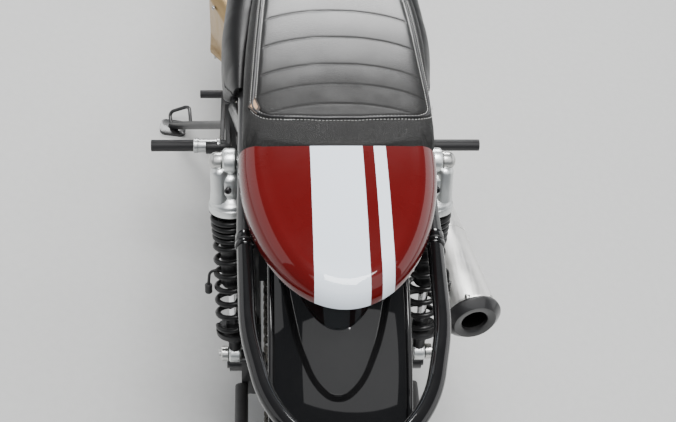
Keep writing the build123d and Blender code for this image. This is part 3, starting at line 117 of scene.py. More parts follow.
def side_of(point: Triple | Vector, side: Side) -> Vector:
    """Return a point of the right side, or its mirror image for the left one."""
    return Vector((point[0] * side.value, point[1], point[2]))


def blend_rows(rows: Table, at: float) -> list[float]:
    """Read a table of stations with a smooth curve through them.

    Args:
        rows: Stations whose first column is the position, in rising order.
        at: Position to read.

    Returns:
        The other columns at that position.
    """
    last = len(rows) - 1
    index = 0
    while index < last - 1 and at > rows[index + 1][0]:
        index += 1
    before, start, end, after = (rows[max(0, min(last, index + step))] for step in (-1, 0, 1, 2))
    share = max(0.0, min(1.0, (at - start[0]) / (end[0] - start[0])))
    out = []
    for column in range(1, len(start)):
        p0, p1, p2, p3 = before[column], start[column], end[column], after[column]
        out.append(0.5 * (2 * p1 + (p2 - p0) * share + (2 * p0 - 5 * p1 + 4 * p2 - p3) * share ** 2
                          + (3 * p1 - p0 - 3 * p2 + p3) * share ** 3))
    return out


def bend_path(points: list[Vector], radii: list[float], step: float = 6.0) -> list[Vector]:
    """Round the corners of a run of straight pieces.

    Args:
        points: Corners of the run with its two ends.
        radii: Bend radius at each inner corner.
        step: Turn in degrees between two points of a bend.

    Returns:
        The points of the bent path.
    """
    path = [points[0].copy()]
    for index, radius in enumerate(radii, 1):
        corner = points[index]
        into = (points[index - 1] - corner).normalized()
        away = (points[index + 1] - corner).normalized()
        half = into.angle(away) / 2
        reach = radius / max(1e-6, sin(half)) * cos(half)
        centre = corner + (into + away).normalized() * (radius / sin(half))
        start = corner + into * reach - centre
        end = corner + away * reach - centre
        turn = start.angle(end)
        count = max(2, ceil(turn / radians(step)))
        for share in range(count + 1):
            weight = share / count
            mixed = (start * sin((1 - weight) * turn) + end * sin(weight * turn)) / sin(turn)
            path.append(centre + mixed)
    path.append(points[-1].copy())
    return path


def turns(count: int, shift: float = 0.0) -> list[float]:
    """Return evenly spaced angles round a full turn, the first one shifted by a share of a step."""
    return [2 * pi * (k + shift) / count for k in range(count)]


def around(axle: Vector, x: float, radius: float, angle: float) -> Vector:
    """Return a place about an axle that runs along X."""
    return axle + Vector((x, radius * cos(angle), radius * sin(angle)))


def mirrored(profile: Profile) -> Profile:
    """Return a profile's other half, in reverse order."""
    return [(-x, r) for x, r in reversed(profile)]


def frame_about(axis: Vector) -> tuple[Vector, Vector]:
    """Return two unit vectors square to an axis and to each other."""
    helper = AXIS_Z if abs(axis.normalized().z) < 0.9 else AXIS_Y
    across = helper.cross(axis).normalized()
    return across, axis.normalized().cross(across)


# Finishes

class Graph:
    """Node tree with short calls to fill it."""

    def __init__(self, tree: bpy.types.NodeTree) -> None:
        """Take up a tree."""
        self.tree = tree

    def node(self, kind: str, inputs: dict | None = None, **settings) -> bpy.types.Node:
        """Add a node.

        Args:
            kind: Blender's name of the node.
            inputs: Values or source sockets by input name or number.
            settings: Properties of the node.

        Returns:
            The new node.
        """
        node = self.tree.nodes.new(kind)
        for key, value in settings.items():
            setattr(node, key, value)
        for key, value in (inputs or {}).items():
            self.feed(node.inputs[key], value)
        return node

    def feed(self, socket: bpy.types.NodeSocket, value) -> None:
        """Set a socket's value, or link it where the value is a socket."""
        if isinstance(value, bpy.types.NodeSocket):
            self.tree.links.new(value, socket)
        else:
            socket.default_value = value

    def calc(self, operation: str, first, second=0.0) -> bpy.types.NodeSocket:
        """Do one sum on two values."""
        return self.node("ShaderNodeMath", {0: first, 1: second}, operation=operation).outputs[0]


class Effect(Graph):
    """Shader group with a vector, named values and one result."""

    def __init__(self, name: str, result: str, **values: float) -> None:
        """Open the group.

        Args:
            name: Name of the group.
            result: Name of its output.
            values: Default of each value input; the vector input comes first by itself.
        """
        super().__init__(bpy.data.node_groups.new(name, "ShaderNodeTree"))
        face = self.tree.interface
        face.new_socket("Vector", in_out="INPUT", socket_type="NodeSocketVector")
        for key, value in values.items():
            face.new_socket(key, in_out="INPUT", socket_type="NodeSocketFloat").default_value = value
        face.new_socket(result, in_out="OUTPUT", socket_type="NodeSocketFloat")
        self.given = self.node("NodeGroupInput").outputs

    def texture(self, kind: str, inputs: dict | None = None, **settings) -> bpy.types.Node:
        """Add a texture at the group's own vector and scale."""
        own = {"Vector": self.given["Vector"], "Scale": self.given["Scale"]}
        return self.node(kind, {**own, **(inputs or {})}, **settings)

    def close(self, result: bpy.types.NodeSocket) -> bpy.types.NodeTree:
        """Send the result out and return the finished group."""
        self.node("NodeGroupOutput", {0: result})
        return self.tree


def grain_effect() -> bpy.types.NodeTree:
    """Return fine cast or moulded grain as a height."""
    group = Effect("fine_grain", "Height", Scale=900.0, Pits=0.5)
    noise = group.texture("ShaderNodeTexNoise", {"Detail": 4.0})
    cells = group.texture("ShaderNodeTexVoronoi", feature="SMOOTH_F1")
    weigh = {0: group.given["Pits"], 2: noise.outputs["Fac"], 3: cells.outputs["Distance"]}
    return group.close(group.node("ShaderNodeMix", weigh).outputs[0])


def smudge_effect() -> bpy.types.NodeTree:
    """Return cloudy handling marks between two values."""
    group = Effect("smudge", "Value", Scale=14.0, Low=0.2, High=0.4)
    noise = group.texture("ShaderNodeTexNoise", {"Detail": 6.0, "Roughness": 0.62})
    ramp = {"Value": noise.outputs["Fac"], "From Min": 0.35, "From Max": 0.68,
            "To Min": group.given["Low"], "To Max": group.given["High"]}
    return group.close(group.node("ShaderNodeMapRange", ramp).outputs["Result"])


def dust_effect() -> bpy.types.NodeTree:
    """Return dust that settles on faces that look up."""
    group = Effect("settled_dust", "Mask", Scale=60.0, Amount=0.2)
    noise = group.texture("ShaderNodeTexNoise", {"Detail": 5.0})
    normal = group.node("ShaderNodeNewGeometry").outputs["Normal"]
    facing = group.node("ShaderNodeSeparateXYZ", {0: normal}).outputs["Z"]
    ramp = group.node("ShaderNodeMapRange", {"Value": facing, "From Min": -0.2})
    blend = group.calc("MULTIPLY", ramp.outputs["Result"], noise.outputs["Fac"])
    return group.close(group.calc("MULTIPLY", blend, group.given["Amount"]))


def scuff_effect() -> bpy.types.NodeTree:
    """Return fine scratches that run along one direction of the vector."""
    group = Effect("scuffs", "Mask", Scale=300.0, Cover=0.5)
    noise = group.texture("ShaderNodeTexNoise", {"Detail": 2.0})
    ramp = {"Value": noise.outputs["Fac"], "From Min": group.given["Cover"], "From Max": 1.0}
    return group.close(group.node("ShaderNodeMapRange", ramp).outputs["Result"])


EFFECTS = {"grain": grain_effect(), "smudge": smudge_effect(), "dust": dust_effect(), "scuff": scuff_effect()}
DUST_COLOUR = (0.32, 0.29, 0.25)


class Sheet(Graph):
    """Node tree of one material."""

    def __init__(self, name: str, upright: bool = True) -> None:
        """Start a material with its shader.

        Args:
            name: Name of the material.
            upright: Whether its coordinates are turned to the upright machine, in metres.
        """
        self.material = bpy.data.materials.new(name)
        self.material.use_nodes = True
        super().__init__(self.material.node_tree)
        self.shader = self.tree.nodes["Principled BSDF"]
        self.place = self.node("ShaderNodeTexCoord").outputs["Object"]
        if upright:
            shift = Matrix.Rotation(LEAN, 3, "Y") @ (PARKED_SHIFT * -0.001)
            turned = {"Vector": self.place, "Location": shift, "Rotation": (0.0, LEAN, 0.0)}
            self.place = self.node("ShaderNodeMapping", turned).outputs["Vector"]

    def effect(self, name: str, place: bpy.types.NodeSocket | None = None, **values) -> bpy.types.NodeSocket:
        """Place a shared effect with its own values, at the sheet's coordinates or at others."""
        inputs = {"Vector": self.place if place is None else place, **values}
        return self.node("ShaderNodeGroup", inputs, node_tree=EFFECTS[name]).outputs[0]

    def smudge(self, scale: float, low: float = 0.0, high: float = 1.0) -> bpy.types.NodeSocket:
        """Return a value that clouds between two others."""
        return self.effect("smudge", Scale=scale, Low=low, High=high)

    def scratches(self, scale: Triple, cover: float) -> bpy.types.NodeSocket:
        """Return a mask of fine scratches, its vector scaled along each axis."""
        return self.effect("scuff", self.stretch(self.place, scale), Scale=1.0, Cover=cover)

    def stretch(self, place: bpy.types.NodeSocket, scale: Triple) -> bpy.types.NodeSocket:
        """Scale coordinates along each axis."""
        return self.node("ShaderNodeMapping", {"Vector": place, "Scale": scale}).outputs["Vector"]

    def noise(self, scale: float, detail: float, output: str = "Fac") -> bpy.types.NodeSocket:
        """Return plain noise at the sheet's coordinates."""
        inputs = {"Vector": self.place, "Scale": scale, "Detail": detail}
        return self.node("ShaderNodeTexNoise", inputs).outputs[output]

    def cells(self, place: bpy.types.NodeSocket, scale: float) -> bpy.types.NodeSocket:
        """Return the distance to the edges of cells."""
        inputs = {"Vector": place, "Scale": scale}
        return self.node("ShaderNodeTexVoronoi", inputs, feature="DISTANCE_TO_EDGE").outputs["Distance"]

    def axis(self, name: str) -> bpy.types.NodeSocket:
        """Return one coordinate of the sheet."""
        return self.node("ShaderNodeSeparateXYZ", {0: self.place}).outputs[name]

    def mix(self, factor, low, high) -> bpy.types.NodeSocket:
        """Mix two colours."""
        node = self.node("ShaderNodeMix", {0: factor}, data_type="RGBA")
        for index, colour in ((6, low), (7, high)):
            linked = isinstance(colour, bpy.types.NodeSocket)
            self.feed(node.inputs[index], colour if linked else (*colour, 1.0))
        return node.outputs[2]

    def spread(self, value, low: float, high: float, out_low: float = 0.0, out_high: float = 1.0):
        """Map a range of a value on to another, clamped."""
        inputs = {"Value": value, "From Min": low, "From Max": high, "To Min": out_low, "To Max": out_high}
        return self.node("ShaderNodeMapRange", inputs).outputs["Result"]

    def bump(self, height, strength: float, distance: float, normal=None) -> bpy.types.NodeSocket:
        """Turn a height into a normal, on top of another one where it is given."""
        inputs = {"Height": height, "Strength": strength, "Distance": distance}
        if normal is not None:
            inputs["Normal"] = normal
        return self.node("ShaderNodeBump", inputs).outputs["Normal"]

    def set(self, **values) -> None:
        """Set or link the shader's sockets; an underscore stands for a space."""
        for key, value in values.items():
            self.feed(self.shader.inputs[key.replace("_", " ")], value)


@dataclass(frozen=True)
class Lacquer:
    """Gloss paint under clear coat, with the racing stripes where they are asked for."""

    name: str
    colour: Triple
    stripes: bool = False
    roughness: float = 0.32
    dust: float = 0.01
    level: float = 0.05
    # columns: left edge and right edge of a stripe, in metres from the middle
    bands: tuple[tuple[float, float], ...] = ((-0.0395, 0.031), (0.046, 0.0626))
    blur: float = 0.0002
    stripe_colour: Triple = (0.8, 0.87, 0.95)

    def make(self) -> bpy.types.Material:
        """Return the paint's material."""
        sheet = Sheet(self.name)
        paint = sheet.mix(sheet.smudge(5.0), tuple(c * 0.9 for c in self.colour), self.colour)
        if self.stripes:
            across, mask = sheet.axis("X"), 0.0
            for low, high in self.bands:
                above = sheet.spread(across, low - self.blur, low + self.blur)
                below = sheet.spread(across, high + self.blur, high - self.blur)
                mask = sheet.calc("ADD", mask, sheet.calc("MULTIPLY", above, below))
            paint = sheet.mix(mask, paint, self.stripe_colour)
        dust = sheet.effect("dust", Scale=70.0, Amount=self.dust)
        rough = sheet.smudge(16.0, self.roughness * 0.85, self.roughness * 1.25)
        peel = sheet.bump(sheet.noise(420.0, 1.0), 0.06, 0.0004)
        sheet.set(Base_Color=sheet.mix(dust, paint, DUST_COLOUR), Roughness=rough, Coat_Weight=1.0,
                  Coat_Roughness=0.035, Specular_IOR_Level=self.level, Normal=peel)
        return sheet.material


@dataclass(frozen=True)
class Metal:
    """Bare metal, cast, turned, brushed or plated, by its numbers."""

    name: str
    colour: Triple
    rough_low: float
    rough_high: float
    grain_scale: float = 900.0
    grain_depth: float = 0.0
    pits: float = 0.5
    brush: Triple | None = None
    dust: float = 0.15
    stain: Triple = (0.16, 0.13, 0.1)
    stain_amount: float = 0.25

    def make(self) -> bpy.types.Material:
        """Return the metal's material."""
        sheet = Sheet(self.name)
        stained = tuple(c * 0.55 + s * 0.25 for c, s in zip(self.colour, self.stain))
        tone = sheet.mix(sheet.calc("MULTIPLY", sheet.smudge(22.0), self.stain_amount), self.colour, stained)
        dust = sheet.effect("dust", Scale=90.0, Amount=self.dust)
        rough = sheet.smudge(30.0, self.rough_low, self.rough_high)
        normal = None
        if self.brush is not None:
            marks = sheet.scratches(self.brush, 0.35)
            rough = sheet.calc("ADD", rough, sheet.calc("MULTIPLY", marks, 0.18))
            normal = sheet.bump(marks, 0.12, 0.0002)
        if self.grain_depth > 0:
            grain = sheet.effect("grain", Scale=self.grain_scale, Pits=self.pits)
            normal = sheet.bump(grain, 0.45, self.grain_depth, normal)
        sheet.set(Base_Color=sheet.mix(dust, tone, DUST_COLOUR), Roughness=rough,
                  Metallic=sheet.spread(dust, 0.0, 0.6, 1.0, 0.35))
        if normal is not None:
            sheet.set(Normal=normal)
        return sheet.material


@dataclass(frozen=True)
class Coating:
    """Powder coat, satin paint, plastic or rubber, by its numbers."""

    name: str
    colour: Triple
    rough_low: float
    rough_high: float
    grain_scale: float = 700.0
    grain_depth: float = 0.0002
    dust: float = 0.15
    coat: float = 0.0
    level: float = 0.5
    wear: Triple = (0.09, 0.088, 0.085)
    wear_amount: float = 0.3

    def make(self) -> bpy.types.Material:
        """Return the coating's material."""
        sheet = Sheet(self.name)
        marks = sheet.scratches((900.0, 60.0, 400.0), 0.62)
        tone = sheet.mix(sheet.calc("MULTIPLY", marks, self.wear_amount), self.colour, self.wear)
        dust = sheet.effect("dust", Scale=80.0, Amount=self.dust)
        rough = sheet.smudge(26.0, self.rough_low, self.rough_high)
        grain = sheet.bump(sheet.effect("grain", Scale=self.grain_scale, Pits=0.4), 0.4, self.grain_depth)
        sheet.set(Base_Color=sheet.mix(dust, tone, DUST_COLOUR), Roughness=rough, Coat_Weight=self.coat,
                  Coat_Roughness=0.06, Specular_IOR_Level=self.level, Normal=grain)
        return sheet.material


@dataclass(frozen=True)
class Hide:
    """Black seat leather: pebbled at the rear band and sides, smoother and finely creased on the insert."""

    name: str = "seat_hide"
    colour: Triple = (0.0085, 0.0085, 0.0085)
    worn: Triple = (0.011, 0.011, 0.011)
    polish_start: float = 0.12
    polish_end: float = 0.31

    def make(self) -> bpy.types.Material:
        """Return the leather's material."""
        sheet = Sheet(self.name)
        insert = sheet.node("ShaderNodeAttribute", attribute_name="insert").outputs["Fac"]
        warp = sheet.node("ShaderNodeVectorMath", {0: sheet.noise(30.0, 2.0, "Color"), "Scale": 0.006},
                          operation="SCALE")
        drift = sheet.node("ShaderNodeVectorMath", {0: sheet.place, 1: warp.outputs[0]},
                           operation="ADD").outputs[0]
        pebble = sheet.spread(sheet.cells(drift, 520.0), 0.0, 0.22)
        fine = sheet.cells(drift, 1100.0)
        crease = sheet.spread(sheet.cells(sheet.stretch(drift, (95.0, 360.0, 200.0)), 1.0), 0.0, 0.09)
        crease = sheet.calc("MULTIPLY", crease, sheet.spread(sheet.noise(9.0, 3.0), 0.45, 0.62))
        smooth = sheet.calc("ADD", sheet.calc("MULTIPLY", fine, 0.35), sheet.calc("MULTIPLY", crease, 0.9))
        height = sheet.calc("ADD", sheet.calc("MULTIPLY", insert, smooth),
                            sheet.calc("MULTIPLY", sheet.calc("SUBTRACT", 1.0, insert), pebble))
        use = sheet.calc("MULTIPLY", sheet.smudge(11.0), sheet.spread(insert, 0.0, 1.0, 0.25, 0.7))
        dust = sheet.effect("dust", Scale=130.0, Amount=0.02)
        polish = sheet.calc("MULTIPLY", sheet.spread(sheet.axis("Y"), self.polish_start, self.polish_end),
                            sheet.spread(insert, 0.0, 1.0, 0.25, 1.0))
        sheet.set(Base_Color=sheet.mix(dust, sheet.mix(use, self.colour, self.worn), DUST_COLOUR),
                  Roughness=sheet.smudge(24.0, 0.42, 0.54), Coat_Weight=polish, Coat_Roughness=0.32,
                  Specular_IOR_Level=0.2, Normal=sheet.bump(height, 0.5, 0.0006))
        return sheet.material


@dataclass(frozen=True)
class Glass:
    """Clear lens glass with fine flutes."""

    name: str
    colour: Triple = (0.96, 0.97, 0.98)
    roughness: float = 0.03

    def make(self) -> bpy.types.Material:
        """Return the glass's material."""
        sheet = Sheet(self.name)
        wave = {"Vector": sheet.place, "Scale": 40.0}
        flutes = sheet.node("ShaderNodeTexWave", wave, bands_direction="X").outputs["Fac"]
        sheet.set(Base_Color=(*self.colour, 1.0), Metallic=0.0, IOR=1.5, Transmission_Weight=1.0,
                  Roughness=sheet.smudge(20.0, self.roughness, self.roughness * 2.2),
                  Normal=sheet.bump(flutes, 0.4, 0.001))
        return sheet.material


RECIPES = (
    Lacquer("racing_red", (0.1, 0.0012, 0.001), stripes=True, roughness=0.3, dust=0.004),
    Lacquer("gloss_black_lacquer", (0.003, 0.003, 0.0035), dust=0.012),
    Coating("frame_coat", (0.014, 0.014, 0.015), 0.28, 0.4, grain_depth=0.0001, coat=0.4, dust=0.03,
             wear_amount=0.12),
    Coating("satin_black", (0.009, 0.009, 0.01), 0.36, 0.48, dust=0.03, wear_amount=0.15),
    Coating("panel_black", (0.004, 0.004, 0.0045), 0.34, 0.44, grain_depth=0.0001, dust=0.02, level=0.22,
             wear_amount=0.08),
    Coating("spring_coat", (0.005, 0.005, 0.0055), 0.28, 0.4, grain_depth=0.0001, coat=0.1, dust=0.02,
            level=0.3, wear_amount=0.08),
    Coating("moulded_black", (0.012, 0.012, 0.013), 0.46, 0.6, grain_scale=900.0, grain_depth=0.0004,
            dust=0.05),
    Coating("grip_rubber", (0.01, 0.01, 0.011), 0.55, 0.72, grain_depth=0.0003, wear_amount=0.12, dust=0.05),
    Coating("tyre_rubber", (0.02, 0.02, 0.021), 0.6, 0.8, grain_scale=420.0, grain_depth=0.0005,
            dust=0.12, wear=(0.05, 0.048, 0.044), wear_amount=0.3),
    Coating("stitch_thread", (0.52, 0.52, 0.5), 0.6, 0.75, grain_scale=2500.0, grain_depth=0.0004, dust=0.1),
    Coating("piping_hide", (0.016, 0.016, 0.017), 0.34, 0.45, grain_scale=1400.0, grain_depth=0.0003,
            dust=0.02, wear_amount=0.2),
    Coating("tag_dark", (0.045, 0.03, 0.024), 0.6, 0.75, grain_scale=1500.0, grain_depth=0.0004),
    Coating("tag_tan", (0.5, 0.3, 0.17), 0.6, 0.75, grain_scale=1700.0, grain_depth=0.0004,
            wear=(0.3, 0.16, 0.08)),
    # Near-black lining of the muffler's bore: partly real soot, partly painted shade inside the pipe.
    Coating("soot", (0.0015, 0.0015, 0.0015), 0.85, 0.95, dust=0.0, level=0.1, wear_amount=0.0),
    # Flat black of the disc drillings: painted shade where the drilled openings would look dark.
    Coating("dial_black", (0.01, 0.01, 0.011), 0.5, 0.6, grain_depth=0.0001, dust=0.02),
    Metal("engine_black", (0.028, 0.028, 0.03), 0.4, 0.55, grain_scale=600.0, grain_depth=0.0008, dust=0.18),
    Metal("bronze_case", (0.42, 0.29, 0.14), 0.34, 0.46, grain_scale=600.0, grain_depth=0.0005, dust=0.12),
    Metal("polished_alloy", (0.72, 0.72, 0.71), 0.16, 0.3, brush=(700.0, 60.0, 60.0), dust=0.1,
          stain_amount=0.2),
    Metal("satin_alloy", (0.62, 0.63, 0.63), 0.3, 0.42, grain_scale=1400.0, grain_depth=0.0002, dust=0.1),
    Metal("shock_alloy", (0.8, 0.82, 0.81), 0.3, 0.42, grain_scale=1500.0, grain_depth=0.0002, dust=0.04,
          stain_amount=0.15),
    Metal("brushed_steel", (0.97, 0.96, 0.93), 0.34, 0.44, brush=(260.0, 20.0, 260.0), dust=0.01,
          stain_amount=0.04),
    Metal("heat_steel", (0.5, 0.44, 0.36), 0.2, 0.34, brush=(300.0, 300.0, 30.0), stain=(0.25, 0.12, 0.06),
          stain_amount=0.6, dust=0.12),
    Metal("disc_steel", (0.5, 0.5, 0.5), 0.2, 0.34, brush=(60.0, 500.0, 500.0), stain_amount=0.3),
    Metal("chain_steel", (0.1, 0.095, 0.085), 0.34, 0.5, grain_scale=900.0, grain_depth=0.0003,
          stain=(0.05, 0.04, 0.03), stain_amount=0.7),
    Metal("chrome", (0.82, 0.82, 0.83), 0.05, 0.12, dust=0.05, stain_amount=0.05),
    Metal("zinc_bolt", (0.62, 0.62, 0.6), 0.22, 0.38, dust=0.06, stain_amount=0.3),
    Metal("dark_bolt", (0.06, 0.06, 0.065), 0.3, 0.45, dust=0.08),
    Glass("lens_glass"),
    Hide(),
)
STOCK = {recipe.name: recipe.make() for recipe in RECIPES}


# Mesh making


class Forge:
    """One mesh under way: shapes are added to it, then it is placed on a body."""

    def __init__(self, name: str, *finishes: str) -> None:
        """Start a mesh.

        Args:
            name: Name of the piece.
            finishes: Names of its finishes; a shape's slot counts along them.
        """
        self.name = name
        self.finishes = finishes
        self.verts: list[Vector] = []
        self.faces: list[tuple[int, ...]] = []
        self.slots: list[int] = []

    def add(self, verts: list[Vector], faces: list[tuple[int, ...]], slot: int = 0) -> None:
        """Add points and faces that count from the first of them."""
        start = len(self.verts)
        self.verts.extend(verts)
        self.faces.extend(tuple(start + index for index in face) for face in faces)
        self.slots.extend([slot] * len(faces))

    def loft(self, rings: list[list[Vector]], slot: int = 0, loop: bool = False) -> None:
        """Skin a row of closed rings of equal count.

        Args:
            rings: The rings in order.
            slot: Which finish the faces take.
            loop: Whether the last ring joins the first; the two ends are closed otherwise.
        """
        count = len(rings[0])
        verts = [point for ring in rings for point in ring]
        faces = []
        spans = len(rings) if loop else len(rings) - 1
        for row in range(spans):
            low = row * count
            high = ((row + 1) % len(rings)) * count
            for index in range(count):
                after = (index + 1) % count
                faces.append((low + index, low + after, high + after, high + index))
        if not loop:
            faces.append(tuple(reversed(range(count))))
            faces.append(tuple(range((len(rings) - 1) * count, len(rings) * count)))
        self.add(verts, faces, slot)

    def lathe(self, profile: Profile, origin: Vector, axis: Vector, sides: int = 40,
              slot: int = 0) -> None:
        """Turn a profile of (distance along, radius) about an axis; ends of radius zero are closed."""
        across, up = frame_about(axis)
        along = axis.normalized()
        rings = []
        for distance, radius in profile:
            radius = max(radius, THIN)
            rings.append([origin + along * distance + (across * cos(a) + up * sin(a)) * radius
                          for a in turns(sides)])
        self.loft(rings, slot)

    def ring(self, profile: Profile, origin: Vector, axis: Vector, sides: int = 40,
             slot: int = 0) -> None:
        """Turn a closed profile of (distance along, radius) about an axis."""
        across, up = frame_about(axis)
        along = axis.normalized()
        rings = []
        for angle in turns(sides):
            spoke = across * cos(angle) + up * sin(angle)
            rings.append([origin + along * distance + spoke * radius for distance, radius in profile])
        self.loft(rings, slot, loop=True)

    def tube(self, path: list[Vector], radius: float, sides: int = 14, slot: int = 0,
             loop: bool = False) -> None:
        """Sweep a circle along a path without twist."""
        count = len(path)
        tangents = []
        for index in range(count):
            before = path[index - 1] if index or loop else path[index]
            after = path[(index + 1) % count] if index < count - 1 or loop else path[index]
            tangents.append((after - before).normalized())
        normal = frame_about(tangents[0])[0]
        rings = []
        for point, tangent in zip(path, tangents):
            normal = (normal - tangent * normal.dot(tangent)).normalized()
            side = tangent.cross(normal)
            rings.append([point + (normal * cos(a) + side * sin(a)) * radius
                          for a in turns(sides)])
        self.loft(rings, slot, loop=loop)

    def slab(self, outline: Profile, start: Vector, across: Vector, up: Vector, depth: float,
             edge: float = 0.0, slot: int = 0) -> None:
        """Raise a flat outline to a plate with its outer edge broken.

        Args:
            outline: Corners as (across, up).
            start: Origin of the outline.
            across: Direction of the first number.
            up: Direction of the second number.
            depth: Thickness along across x up.
            edge: Size of the broken edge.
            slot: Which finish the faces take.
        """
        out = across.cross(up).normalized()
        middle = Vector((sum(p[0] for p in outline) / len(outline),
                         sum(p[1] for p in outline) / len(outline)))
        rings = []
        for level, shrink in ((0.0, 0.0), (depth - edge, 0.0), (depth, edge)):
            ring = []
            for x, y in outline:
                away = Vector((x, y)) - middle
                share = 1 - shrink / max(away.length, 1e-6)
                spot = middle + away * share
                ring.append(start + across * spot.x + up * spot.y + out * level)
            rings.append(ring)
        self.loft(rings, slot)

    def mesh(self, sharp: float = 32.0) -> bpy.types.Mesh:
        """Close the mesh in millimetres: doubles merged, faces outwards, shaded by angle."""
        data = bpy.data.meshes.new(self.name)
        data.from_pydata([tuple(v) for v in self.verts], [], self.faces)
        data.polygons.foreach_set("material_index", self.slots)
        work = bmesh.new()
        work.from_mesh(data)
        bmesh.ops.remove_doubles(work, verts=work.verts, dist=MERGE)
        bmesh.ops.recalc_face_normals(work, faces=work.faces)
        work.to_mesh(data)
        work.free()
        for finish in self.finishes:
            data.materials.append(STOCK[finish])
        data.shade_smooth()
        data.set_sharp_from_angle(angle=radians(sharp))
        return data

    def place(self, body: Body, slot: str, replaces: tuple[str, ...] = (),
              sharp: float = 32.0) -> bpy.types.Object:
        """Finish the piece and set it on its body.

        Args:
            body: The body that carries it.
            slot: The record's material slot; not used.
            replaces: Nodes that it stands for.
            sharp: Angle in degrees past which an edge stays crisp.

        Returns:
            The placed object.
        """
        return settle(self.name, self.mesh(sharp), body, replaces)


def settle(name: str, data: bpy.types.Mesh, body: Body, replaces: tuple[str, ...] = (),
           matrix: Matrix = PARKED) -> bpy.types.Object:
    """Put a mesh at its parked place, on its body.

    Args:
        name: Name of the piece.
        data: Its mesh.
        body: The body that carries it.
        replaces: Nodes that it stands for.
        matrix: Place of the mesh, which goes into its points.

    Returns:
        The placed object.
    """
    data.transform(matrix)
    piece = bpy.data.objects.new(name, data)
    bpy.context.scene.collection.objects.link(piece)
    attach(piece, body.value)
    if replaces:
        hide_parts(*replaces)
    log.info("%s: %d faces on %s", name, len(data.polygons), body.value)
    return piece


def refine_node(node: str, finish: str, body: Body, bevel: float = 0.0,
                sharp: float = 28.0) -> bpy.types.Object:
    """Stand a merged, smooth-shaded copy in for a node whose shape is right.

    Edges that turn by more than 40 degrees are the ones that a bevel breaks.

    Args:
        node: Name of the node.
        finish: Its finish.
        body: The body that carries it.
        bevel: Width of the broken edges in millimetres; none at zero.
        sharp: Angle in degrees past which an edge stays crisp.

    Returns:
        The placed object.
    """
    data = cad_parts[node].data.copy()
    data.name = node + "_dressed"
    work = bmesh.new()
    work.from_mesh(data)
    bmesh.ops.remove_doubles(work, verts=work.verts, dist=2e-6)
    bmesh.ops.dissolve_limit(work, angle_limit=radians(0.6), verts=work.verts, edges=work.edges)
    if bevel > 0:
        crisp = [edge for edge in work.edges
                 if edge.is_manifold and edge.calc_face_angle(0.0) > radians(40.0)]
        bmesh.ops.bevel(work, geom=crisp, offset=bevel * 0.001, segments=2, profile=0.6, affect="EDGES",
                        clamp_overlap=True)
    work.to_mesh(data)
    work.free()
    data.materials.clear()
    data.materials.append(STOCK[finish])
    data.polygons.foreach_set("material_index", [0] * len(data.polygons))
    data.shade_smooth()
    data.set_sharp_from_angle(angle=radians(sharp))
    return settle(data.name, data, body, (node,), Matrix.Identity(4))


# Repeated pieces


